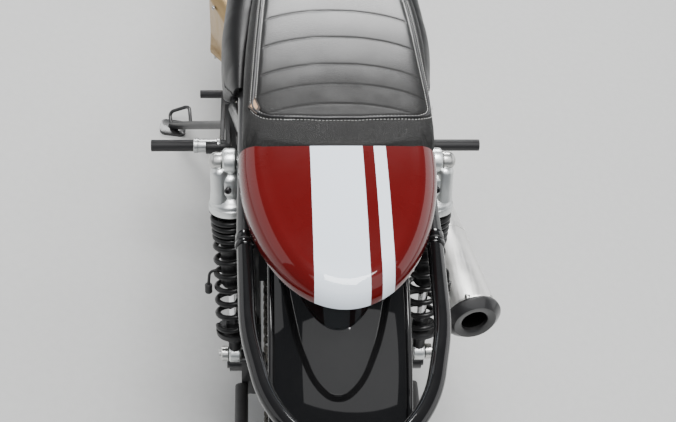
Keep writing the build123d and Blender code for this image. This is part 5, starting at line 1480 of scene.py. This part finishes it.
@dataclass
class FuelTank:
    """Tank with knee recesses, its filler cap and the frame's tunnel under it."""

    # columns: Y, half width, half width of the floor, floor, top
    stations: Table = ((622.0, 92.0, 82.0, 757.0, 832.0), (680.0, 108.0, 94.0, 754.0, 876.0),
                       (760.0, 134.0, 116.0, 752.0, 920.0), (860.0, 146.0, 128.0, 752.0, 946.0),
                       (950.0, 126.0, 108.0, 758.0, 948.0), (1030.0, 74.0, 64.0, 776.0, 928.0),
                       (1078.0, 50.0, 42.0, 800.0, 900.0))
    # columns: Y, tunnel roof
    tunnel: Table = ((600.0, 778.0), (860.0, 806.0), (1000.0, 832.0), (1100.0, 856.0))
    tunnel_half: float = 31.0

    def section(self, y: float, share: float = 1.0) -> list[Vector]:
        """Return one ring of the tank, with the tunnel cut in its floor."""
        half, waist, bottom, top = blend_rows(self.stations, y)
        roof = min(blend_rows(self.tunnel, y)[0], top - 20.0)
        height = top - bottom
        middle = bottom + height * 0.42
        right = []
        for k in range(6):
            turn = pi / 2 * k / 5
            right.append((waist - 10.0 + 10.0 * sin(turn), bottom + 10.0 * (1 - cos(turn))))
        for k in range(1, 9):
            t = k / 9
            right.append((waist + (half - waist) * sin(t * pi / 2), bottom + 10.0 + (middle - bottom - 10.0)
                          * t))
        for k in range(22):
            turn = pi / 2 * k / 21
            x = half * abs(cos(turn)) ** 0.72
            z = middle + (top - middle) * abs(sin(turn)) ** 0.78
            right.append((x, z))
        ring = [(self.tunnel_half, roof), (self.tunnel_half, bottom)] + right
        points = [Vector((x * (share if index > 1 else 1.0), y,
                          middle + (z - middle) * (share if index > 1 else 1.0))) for index,
                  (x, z) in enumerate(ring)]
        return points + [side_of(point, Side.LEFT) for point in reversed(points[:-1])]

    def build(self) -> None:
        """Make the tank and its cap."""
        forge = Forge("tank_shell", "racing_red")
        first, last = self.stations[0][0], self.stations[-1][0]
        rings = [self.section(first, share) for share in (0.8, 0.93, 0.985)]
        rings += [self.section(first + 2.5 + (last - first - 5.0) * k / 60) for k in range(61)]
        rings += [self.section(last, share) for share in (0.985, 0.92, 0.8)]
        forge.loft(rings)
        forge.place(Body.CHASSIS, "red_paint", ("fuel_tank",), sharp=50.0)
        cap = Forge("filler_cap", "chrome", "satin_alloy")
        base = Vector((0.0, 900.0, 941.5))
        cap.lathe([(-3.0, 35.0), (6.0, 35.6), (9.0, 34.0), (10.5, 31.0), (11.0, 29.0), (17.0, 28.6),
                   (18.6, 27.0), (18.9, 14.0), (17.8, 12.0), (17.6, 0.0)], base, AXIS_Z, 64, 0)
        cap.place(Body.CHASSIS, "chrome", ("fuel_cap",))
        spots = [(base + Vector((cos(a) * 32.0, sin(a) * 32.0, 10.0)), AXIS_Z) for a in turns(8)]
        AT_POINTS.run("filler_screws", fastener("cap_screw", 2.4), spots, "dark_bolt", Body.CHASSIS, "chrome")


@dataclass
class Tyre:
    """Road tyre with a treaded crown and ribbed sidewalls."""

    name: str
    node: str
    axle: Vector
    body: Body
    radius: float
    width: float
    crown: float
    bead: float
    seat: float = 216.0
    sectors: int = 540

    def rings(self) -> list[Triple]:
        """Return the section's points as (X, radius, how much of the tread is on it)."""
        out = []
        turn = radians(25.0)
        height = self.radius - self.seat
        edge_x = self.crown * sin(turn)
        edge_r = self.radius - self.crown * (1 - cos(turn))
        side = [(self.bead + x, self.seat + r, 0) for x, r in ((0.0, 1.0), (0.3, 12.0), (2.5, 17.0))]
        # columns: shares of the width and of the height, tread
        wall = ((0.485, 0.36, 0), (0.497, 0.47, 0), (0.492, 0.54, 0), (0.475, 0.62, 0), (0.45, 0.69, 0),
                (0.42, 0.745, 0.4))
        side += [(self.width * x, self.seat + height * r, tread) for x, r, tread in wall]
        steps = 15
        last_x, last_r, _ = side[-1]
        for k in range(1, 6):
            t = k / 6
            out.append((last_x + (edge_x - last_x) * t, last_r + (edge_r - last_r) * t + 2.4 * sin(pi * t),
                         1.0))
        crown = [(self.crown * sin(turn * k / steps), self.radius - self.crown * (1 - cos(turn * k / steps)),
                   1.0) for k in range(steps, 0, -1)]
        half = side + out + crown
        return [*half, (0.0, self.radius, 1.0), *[(-x, r, t) for x, r, t in reversed(half)]]

    def groove(self, x: float, angle: float) -> float:
        """Return the depth of the tread's grooves at a place."""
        share = abs(x) / (self.width * 0.5)
        depth = 0.0
        if abs(share - 0.17) < 0.035:
            depth = 3.2
        pitch = 2 * pi / 30
        phase = (angle + (0.5 * pitch if x > 0 else 0.0) + share * 0.16) % pitch / pitch
        if 0.24 < share < 0.86 and phase < 0.17:
            depth = max(depth, 3.0 * min(1.0, (share - 0.24) * 8, (0.86 - share) * 8))
        return depth

    def build(self) -> None:
        """Make the tyre as one closed ring."""
        forge = Forge(self.name, "tyre_rubber")
        profile = self.rings()
        rings = []
        for angle in turns(self.sectors):
            ring = []
            for x, r, tread in profile:
                reach = r - (self.groove(x, angle) * tread if tread > 0.5 else 0.0)
                ring.append(around(self.axle, x, reach, angle))
            rings.append(ring)
        forge.loft(rings, loop=True)
        forge.place(self.body, "tyre", (self.node,), sharp=38.0)


@dataclass
class Wheel:
    """Rim, hub and spoke nipples of a wire wheel."""

    label: str
    axle: Vector
    body: Body
    bead: float
    hub_finish: str = "satin_alloy"

    def build(self) -> None:
        """Make the rim, dress the hub and set the nipples."""
        seat, top, outer = 215.7, 229.0, self.bead + 5.8
        well = self.bead * 0.5
        forge = Forge(f"{self.label}_rim_polished", "polished_alloy")
        upper = [(outer, top - 1.5), (outer - 1.2, top), (self.bead + 1.4, top), (self.bead + 0.4, top - 1.2),
                 (self.bead + 0.4, seat), (well + 9.0, seat), (well, seat - 9.0)]
        under = [(well, seat - 16.8), (well + 6.0, seat - 15.6), (outer - 3.0, seat - 5.0),
                 (outer, seat - 2.0)]
        forge.ring(upper + mirrored(upper) + mirrored(under) + under, self.axle, AXIS_X, 160)
        forge.place(self.body, "rim_alloy", (f"{self.label}_rim",))
        refine_node(f"{self.label}_hub", self.hub_finish, self.body)
        spots = []
        for k in range(9):
            for side, phase, lay in ((1, 0.0, 1), (1, 0.5, -1), (-1, 0.25, 1), (-1, 0.75, -1)):
                angle = radians((k + phase) * 40.0 + 32.0 * lay)
                way = Vector((-side * 0.25, -cos(angle), -sin(angle))).normalized()
                spots.append((around(self.axle, side * 6.0, 198.4, angle), way))
        nipple = turned("nipple", [(-1.0, 4.6, 12), (1.0, 4.4, 12), (2.0, 3.2, 6), (12.0, 3.0, 6),
                                   (13.0, 2.2, 12)])
        AT_POINTS.run(f"{self.label}_nipples", nipple, spots, "zinc_bolt", self.body, "rim_alloy")


@dataclass
class Disc:
    """Drilled brake disc on its carrier."""

    name: str
    axle: Vector
    body: Body
    x: float
    radius: float
    thickness: float = 5.0
    hub_reach: float = 60.0

    def build(self, replaces: tuple[str, ...] = ()) -> None:
        """Make the friction ring, thin black discs painted over its drillings as shade, the carrier and its
        bobbins.
        """
        forge = Forge(self.name, "disc_steel", "satin_black")
        sign = 1 if self.x > 0 else -1
        inner, outer = self.radius * 0.72, self.radius
        face = self.thickness / 2
        edge = [(face, inner + 0.5), (face, outer - 0.5), (face - 0.5, outer)]
        rings = []
        for angle in turns(72):
            wave = 1.2 * cos(8 * angle)
            rings.append([around(self.axle, self.x + x, r + (wave if r < inner + 2 else 0.0), angle)
                          for x, r in edge + mirrored(edge)])
        forge.loft(rings, loop=True)
        arms = turns(6)
        for angle in arms:
            way = Vector((0.0, cos(angle), sin(angle)))
            side = Vector((0.0, -sin(angle), cos(angle)))
            start = self.axle + Vector((self.x - 2.2, 0.0, 0.0)) + way * 26.0
            outline = [(0.0, -13.0), (inner - 30.0, -7.5), (inner - 20.0, -7.0), (inner - 20.0, 7.0),
                       (inner - 30.0, 7.5), (0.0, 13.0)]
            forge.slab(outline, start, way, side, 4.4, 0.8, 1)
        hub = self.axle + AXIS_X * self.x
        forge.ring([(-3.0, 11.0), (-3.0, 34.0), (2.6, 34.0), (2.6, 11.0)], hub, AXIS_X * sign, 48, 1)
        base = self.hub_reach + 0.4
        forge.ring([(base * sign, 11.0), (base * sign, 33.0), (self.x - sign * 2.6, 33.0),
                    (self.x - sign * 2.6, 11.0)], self.axle, AXIS_X, 48, 1)
        forge.place(self.body, "disc_steel", replaces)
        hole_shades = []
        for ring_radius, number, shift in ((inner + 8.0, 18, 0.0), ((inner + outer) / 2, 18, 0.5),
                                           (outer - 7.0, 18, 0.0)):
            hole_shades += [(around(self.axle, self.x + sign * self.thickness / 2, ring_radius, angle),
                       AXIS_X * sign) for angle in turns(number, shift)]
        # Drillings are drawn as thin flat black discs on the face: painted shade, not openings.
        hole_shade = turned("disc_hole", [(0.12, 3.4, 12), (0.16, 3.0, 12), (0.06, 2.9, 12), (0.04, 0.0, 12)])
        AT_POINTS.run(f"{self.name}_holes", hole_shade, hole_shades, "dial_black", self.body, "disc_steel")
        spots = [(around(self.axle, self.x + sign * 2.6, inner - 4.0, angle), AXIS_X * sign)
                 for angle in arms]
        AT_POINTS.run(f"{self.name}_bobbins", fastener("dome_rivet", 6.0), spots, "zinc_bolt", self.body,
                       "disc_steel")


@dataclass
class DriveChain:
    """Roller chain round both sprockets."""

    x: float = -92.0
    pitch: float = 15.875
    rear_teeth: int = 44
    front_teeth: int = 17
    front: tuple[float, float] = (600.0, 395.0)

    def path(self) -> list[Vector]:
        """Return the chain's loop as evenly spaced points, one for each link."""
        rear_r, front_r = (self.pitch / 2 / sin(pi / teeth) for teeth in (self.rear_teeth, self.front_teeth))
        rear, front = Vector((0.0, REAR_AXLE.z)), Vector(self.front)
        span = front - rear
        base = atan2(span.y, span.x)
        run = sqrt(span.length ** 2 - (rear_r - front_r) ** 2)
        open_angle = pi / 2 - atan2(rear_r - front_r, run)
        front_arc, rear_arc = 2 * open_angle * front_r, 2 * (pi - open_angle) * rear_r
        length = 2 * run + front_arc + rear_arc
        count = 2 * round(length / self.pitch / 2)
        points = []
        for k in range(count):
            d = (k + 0.5) * length / count
            if d < run:
                spot = self.off_circle(rear, rear_r, base + open_angle, d)
            elif d < run + front_arc:
                spot = self.off_circle(front, front_r, base + open_angle - (d - run) / front_r)
            elif d < 2 * run + front_arc:
                spot = self.off_circle(front, front_r, base - open_angle, d - run - front_arc)
            else:
                spot = self.off_circle(rear, rear_r, base - open_angle - (d - 2 * run - front_arc) / rear_r)
            points.append(Vector((self.x, spot.x, spot.y)))
        return points

    @staticmethod
    def off_circle(centre: Vector, radius: float, angle: float, run: float = 0.0) -> Vector:
        """Return a place on a sprocket's pitch circle, or so far on along the tangent there."""
        way = Vector((cos(angle - pi / 2), sin(angle - pi / 2)))
        return centre + Vector((cos(angle), sin(angle))) * radius + way * run

    def link(self, half_width: float, plate: float, rollers: bool) -> bpy.types.Mesh:
        """Return one link along X: two waisted plates, and the rollers of an inner link."""
        forge = Forge("link")
        reach = self.pitch / 2
        outline = []
        for centre, start in ((reach, -75), (-reach, 105)):
            for k in range(6):
                angle = radians(start + 150 * k / 5)
                outline.append((centre + 6.3 * cos(angle), 6.3 * sin(angle)))
        outline.insert(6, (0.0, 4.6))
        outline.append((0.0, -4.6))
        for side in (1, -1):
            start = Vector((0.0, side * half_width, 0.0))
            forge.slab(outline, start, AXIS_X, AXIS_Z * -side, plate, 0.5)
        for centre in (reach, -reach):
            radius = 5.0 if rollers else 2.9
            width = half_width + (plate + 1.0 if not rollers else 0.0)
            forge.lathe([(-width, radius), (width, radius)], Vector((centre, 0.0, 0.0)), AXIS_Y, 10)
        return forge.mesh(FASTENER_SHARP)

    def build(self) -> None:
        """Make the inner and the outer links."""
        points = self.path()
        count = len(points)
        outline = []
        for k, point in enumerate(points):
            ahead = (points[(k + 1) % count] - points[k - 1]).normalized()
            outline.append((point, ahead))
        for label, first, mesh in (("inner", 0, self.link(5.2, 1.9, True)),
                                   ("outer", 1, self.link(7.3, 1.9, False))):
            forge = Forge(f"chain_links_{label}", "chain_steel")
            faces = [tuple(polygon.vertices) for polygon in mesh.polygons]
            for point, ahead in outline[first::2]:
                turn = Matrix((ahead, -AXIS_X, AXIS_X.cross(ahead))).transposed()
                forge.add([point + turn @ vertex.co for vertex in mesh.vertices], faces)
            forge.place(Body.CHASSIS, "chain_steel", ("chain",) if first == 0 else ())


@dataclass
class Engine:
    """Air-cooled twin: refined castings and cover screws."""

    case_side: float = -118.3
    swell: float = 1.05
    swell_start: float = 715.0
    swell_end: float = 820.0
    # columns: middle's Y and Z, radius, first and last angle in degrees, number of screws
    left_rims: Table = ((842.0, 360.0, 74.0, -120, 120, 7), (742.0, 372.0, 54.0, 100, 250, 4))
    right_rims: Table = ((700.0, 372.0, 90.0, 95, 265, 7), (845.0, 352.0, 66.0, -85, 85, 6))

    @staticmethod
    def rim(x: float, rows: Table) -> list[Vector]:
        """Return the places of screws along arcs round a cover."""
        spots = []
        for y, z, radius, start, end, count in rows:
            for k in range(count):
                angle = radians(start + (end - start) * k / (count - 1))
                spots.append(Vector((x, y + radius * cos(angle), z + radius * sin(angle))))
        return spots

    def outward(self, spot: Vector) -> float:
        """Return the X of a place of the left covers, swollen over the alternator."""
        share = max(0.0, min(1.0, (spot.y - self.swell_start) / (self.swell_end - self.swell_start)))
        reach = min(0.0, spot.x - self.case_side)
        return spot.x + reach * self.swell * share ** 2 * (3 - 2 * share)

    def build(self) -> None:
        """Dress the castings and set their screws."""
        for node, finish, slot, bevel in (("crankcase", "engine_black", "cast_alloy", 1.5),
                                          ("cylinders", "engine_black", "cast_alloy", 0.5),
                                          ("cylinder_head", "engine_black", "cast_alloy", 0.5),
                                          ("clutch_cover", "polished_alloy", "polished_alloy", 0.0),
                                          ("left_covers", "bronze_case", "polished_alloy", 0.0),
                                          ("intakes", "satin_alloy", "satin_alloy", 0.5)):
            refine_node(node, finish, Body.CHASSIS, bevel)
        covers = bpy.data.objects["left_covers_dressed"]
        into = PARKED.inverted()
        for vertex in covers.data.vertices:
            spot = into @ vertex.co
            spot.x = self.outward(spot)
            vertex.co = PARKED @ spot
        left = [(Vector((self.outward(spot), spot.y, spot.z)), -AXIS_X)
                for spot in self.rim(-159.0, self.left_rims)]
        right = [(spot, AXIS_X) for spot in self.rim(156.0, self.right_rims)]
        top = [(Vector((x, y, 719.5)), AXIS_Z) for x in (-78.0, 0.0, 78.0) for y in (778.0, 862.0)]
        for name, size, spots, slot in (("left", 4.6, left, "polished_alloy"),
                                        ("right", 4.6, right, "polished_alloy"),
                                        ("rocker", 5.0, top, "cast_alloy")):
            AT_POINTS.run(f"{name}_cover_screws", fastener("cap_screw", size), spots, "zinc_bolt",
                          Body.CHASSIS, slot, turn=1.0)


@dataclass
class FrontEnd:
    """Fork, bars, lamp and gauges."""

    lower_clamp: float = 790.0
    offset: float = 32.9
    bulge: float = 15.0
    lamp_radius: float = 88.0
    lamp_depth: float = 98.0

    def build(self) -> None:
        """Dress the fork's pieces."""
        for node, finish, slot, bevel in (("triple_clamps", "satin_alloy", "satin_alloy", 1.2),
                                          ("fork_tubes", "chrome", "chrome", 0.0),
                                          ("fork_lowers", "polished_alloy", "polished_alloy", 0.6),
                                          ("clip_ons", "satin_black", "satin_black", 0.6),
                                          ("bar_controls", "satin_black", "satin_black", 1.0),
                                          ("bar_end_mirrors", "satin_black", "satin_black", 0.8),
                                          ("headlight", "chrome", "chrome", 0.0),
                                          ("front_calipers", "satin_alloy", "satin_alloy", 1.5),
                                          ("grips", "grip_rubber", "grip_rubber", 0.0),
                                          ("gauges", "satin_black", "satin_black", 0.8)):
            refine_node(node, finish, Body.FORK, bevel)
        self.lamp()

    def lamp(self) -> None:
        """Make the domed glass."""
        origin = fork_point(0.0, self.offset + 42.0, self.lower_clamp + 84.0)
        r = self.lamp_radius - 3.4
        glass = Forge("headlight_glass", "lens_glass")
        dome = [(self.lamp_depth - 7.0, 0.0), (self.lamp_depth - 7.0, r)]
        ball = (r * r + self.bulge ** 2) / (2 * self.bulge)
        for k in range(9):
            x = r * (1 - k / 8)
            dome.append((self.lamp_depth + 1.0 + self.bulge - ball + sqrt(ball * ball - x * x), x))
        glass.lathe(dome, origin, AXIS_Y, 72)
        glass.place(Body.FORK, "lamp_glass", ("headlight_lens",))


@dataclass
class SidePanel:
    """Side cover that wraps over the seat rail up to the seat's lower edge."""

    side: Side
    top: float = 747.0
    thickness: float = 3.0
    # columns: Y, reach, lower edge, reach of the top edge
    stations: Table = ((186.0, 146.0, 728.0, 134.5), (215.0, 153.0, 708.0, 133.5),
                       (260.0, 161.0, 668.0, 131.5), (310.0, 166.0, 618.0, 127.5),
                       (345.0, 167.0, 578.0, 124.5), (380.0, 165.0, 566.0, 121.0),
                       (500.0, 158.0, 560.0, 107.0), (545.0, 155.0, 584.0, 100.0),
                       (566.0, 153.0, 606.0, 97.0))

    def section(self, y: float) -> list[Vector]:
        """Return one ring of the shell: its outer face and the inner one back down."""
        reach, low, inner_top = blend_rows(self.stations, y)
        height = self.top - low
        roll = min(52.0, height * 0.8)
        face = [(reach - 9.0, low), (reach - 3.0, low + 1.5), (reach - 0.6, low + 6.0), (reach, low + 13.0)]
        face = [(x, min(z, self.top - roll)) for x, z in face]
        straight = face[-1][1]
        face += [(reach + 1.5 * sin(pi * k / 5), straight + (self.top - roll - straight) * k / 5)
                 for k in range(1, 5)]
        for k in range(13):
            turn = pi / 2 * k / 12
            face.append((inner_top + (reach - inner_top) * abs(cos(turn)) ** 0.8,
                         self.top - roll + roll * sin(turn)))
        back = [(x - self.thickness, z - self.thickness * 0.6) for x, z in reversed(face)]
        return [side_of((x, y, z), self.side) for x, z in face + back]

    def build(self) -> None:
        """Make the shell."""
        label = self.side.name.lower()
        forge = Forge(f"side_panel_{label}", "panel_black")
        first, last = self.stations[0][0], self.stations[-1][0]
        count = 64
        forge.loft([self.section(first + (last - first) * k / count) for k in range(count + 1)])
        forge.place(Body.CHASSIS, "gloss_black", ("side_covers",) if self.side is Side.LEFT else (),
                    sharp=50.0)


@dataclass
class PegSleeve:
    """Turned alloy sleeve between the left foot peg's rubber and its bracket."""

    axis_y: float = 458.0
    axis_z: float = 367.0
    inner: float = 180.0
    outer: float = 231.0
    radius: float = 13.0
    bore: float = 11.3

    def build(self) -> None:
        """Turn the sleeve."""
        forge = Forge("peg_sleeve_left", "satin_alloy")
        length = self.outer - self.inner
        profile = [(0.0, self.bore), (0.0, self.radius + 1.2), (2.0, self.radius + 2.0),
                   (6.0, self.radius + 2.0), (7.5, self.radius), (length - 9.0, self.radius),
                   (length - 8.0, self.radius + 1.4), (length - 1.0, self.radius + 1.4),
                   (length, self.radius + 0.4), (length, self.bore)]
        forge.ring(profile, Vector((-self.inner, self.axis_y, self.axis_z)), -AXIS_X, 48)
        forge.place(Body.CHASSIS, "polished_alloy")


@dataclass
class PlainNodes:
    """Nodes off the fork whose shape is right: merged, smoothed and finished."""

    # columns: node, finish, record slot, body, bevel
    rows: tuple[tuple[str, str, str, Body, float], ...] = (
        ("frame", "frame_coat", "frame_black", Body.CHASSIS, 0.0),
        ("swingarm", "frame_coat", "frame_black", Body.CHASSIS, 0.8),
        ("exhaust_headers", "heat_steel", "exhaust_steel", Body.CHASSIS, 0.0),
        ("chain_guard", "satin_black", "satin_black", Body.CHASSIS, 0.0),
        ("seat_base", "moulded_black", "black_plastic", Body.CHASSIS, 0.8),
        ("tail_light", "satin_black", "lamp_red", Body.CHASSIS, 0.8),
        ("plate_holder", "moulded_black", "black_plastic", Body.CHASSIS, 0.8),
        ("rearset_left", "satin_black", "satin_black", Body.CHASSIS, 0.8),
        ("rearset_right", "satin_black", "satin_black", Body.CHASSIS, 0.8),
        ("rear_caliper", "satin_black", "satin_black", Body.CHASSIS, 1.5),
        ("rear_sprocket", "chain_steel", "chain_steel", Body.REAR_WHEEL, 0.5),
        ("side_stand", "frame_coat", "frame_black", Body.STAND, 0.6),
    )

    def build(self) -> None:
        """Dress each of them."""
        for node, finish, slot, body, bevel in self.rows:
            refine_node(node, finish, body, bevel)


# Studio


@dataclass(frozen=True)
class Studio:
    """Camera at the photo's place, pale floor and soft light."""

    place: Triple = (-0.2675, -1.7535, 1.8314)
    right: Triple = (0.9749, -0.0488, 0.2173)
    up: Triple = (-0.1130, 0.7325, 0.6713)
    lens: float = 61.35
    floor_half: float = 24.0
    sky_colour: tuple[float, float, float, float] = (0.86, 0.92, 1.0, 1.0)
    sky_strength: float = 0.22

    def camera(self) -> None:
        """Create the camera and make it the scene's."""
        data = bpy.data.cameras.new("photo_camera")
        data.sensor_fit = "HORIZONTAL"
        data.sensor_width = 36.0
        data.lens = self.lens
        data.clip_start, data.clip_end = 0.05, 100.0
        camera = bpy.data.objects.new("photo_camera", data)
        bpy.context.scene.collection.objects.link(camera)
        right = Vector(self.right).normalized()
        back = right.cross(Vector(self.up)).normalized()
        up = back.cross(right)
        turn = Matrix((right, up, back)).transposed().to_4x4()
        camera.matrix_world = Matrix.Translation(self.place) @ turn
        bpy.context.scene.camera = camera

    def floor(self) -> None:
        """Lay the pale floor."""
        data = bpy.data.meshes.new("studio_floor")
        reach = self.floor_half
        ground = [(-reach, -reach, 0.0), (reach, -reach, 0.0), (reach, reach, 0.0), (-reach, reach, 0.0)]
        data.from_pydata(ground, [], [(0, 1, 2, 3)])
        sheet = Sheet("studio_floor", upright=False)
        speck = sheet.mix(sheet.noise(60.0, 6.0), (0.56, 0.56, 0.55), (0.62, 0.62, 0.61))
        sheet.set(Base_Color=speck, Roughness=0.85)
        data.materials.append(sheet.material)
        floor = bpy.data.objects.new("studio_floor", data)
        bpy.context.scene.collection.objects.link(floor)
        floor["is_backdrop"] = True

    def lights(self) -> None:
        """Hang the soft boxes and set the sky's fill."""
        world = bpy.data.worlds.new("studio_sky")
        bpy.context.scene.world = world
        world.use_nodes = True
        sky = world.node_tree.nodes["Background"].inputs
        sky["Color"].default_value, sky["Strength"].default_value = self.sky_colour, self.sky_strength
        # columns: name, place, target, size, power
        boxes = (("soft_key", (-0.3, -1.15, 4.2), (0.0, -0.3, 0.7), (1.6, 1.6), 185.0),
                 ("soft_left", (-3.8, 0.8, 1.7), (0.0, 0.1, 0.5), (5.0, 3.0), 45.0),
                 ("soft_right", (3.8, 0.8, 1.8), (0.0, 0.1, 0.5), (5.0, 3.0), 65.0),
                 ("soft_sky", (0.35, -3.0, 3.7), (0.05, -0.85, 0.6), (7.0, 3.2), 80.0),
                 ("soft_front", (0.0, 2.9, 2.9), (0.0, -0.25, 0.8), (2.6, 0.9), 170.0))
        for name, place, target, size, power in boxes:
            data = bpy.data.lights.new(name, "AREA")
            data.shape = "RECTANGLE"
            data.size, data.size_y = size
            data.energy = power
            lamp = bpy.data.objects.new(name, data)
            lamp.location = place
            lamp.rotation_euler = (Vector(target) - Vector(place)).to_track_quat("-Z", "Y").to_euler()
            bpy.context.scene.collection.objects.link(lamp)

    def build(self) -> None:
        """Set the whole studio."""
        self.camera()
        self.floor()
        self.lights()


def corners() -> list[list[float]]:
    """Return the shown object's lowest and highest corner as plain numbers."""
    bpy.context.view_layer.update()
    return [[round(value, 5) for value in corner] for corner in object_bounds()]


def main() -> None:
    """Build the machine in order and note its size before and after."""
    logging.basicConfig(level=logging.INFO, format="%(message)s")
    before = corners()
    Studio().build()
    Saddle().build()
    Cowl().build()
    Fender("rear_fender_arch", "rear_fender", REAR_AXLE, 392.0, 97.0, 22.0, 66.0, 92.0, Body.CHASSIS).build()
    Fender("front_fender_arch", "front_fender", FRONT_AXLE, 318.0, 66.0, 16.0, 62.0, 98.0, Body.FORK).build()
    GrabLoop().build()
    for side in Side:
        Shock(side).build()
        SidePanel(side).build()
    PegSleeve().build()
    Silencer().build()
    FuelTank().build()
    Tyre("rear_tyre_treaded", "rear_tyre", REAR_AXLE, Body.REAR_WHEEL, 312.0, 150.0, 82.0, 54.0).build()
    Tyre("front_tyre_treaded", "front_tyre", FRONT_AXLE, Body.FRONT_WHEEL, 300.0, 118.0, 62.0, 44.0).build()
    Wheel("rear", REAR_AXLE, Body.REAR_WHEEL, 54.0).build()
    Wheel("front", FRONT_AXLE, Body.FRONT_WHEEL, 44.0).build()
    Disc("rear_disc_drilled", REAR_AXLE, Body.REAR_WHEEL, 72.5, 110.0).build(("rear_disc",))
    Disc("front_disc_drilled_right", FRONT_AXLE, Body.FRONT_WHEEL, 63.0, 155.0,
         hub_reach=52.0).build(("front_discs",))
    Disc("front_disc_drilled_left", FRONT_AXLE, Body.FRONT_WHEEL, -63.0, 155.0, hub_reach=52.0).build()
    DriveChain().build()
    Engine().build()
    FrontEnd().build()
    PlainNodes().build()
    after = corners()
    log.info("box of the frame %s, of the dressed machine %s", before, after)


if __name__ == "__main__":
    main()
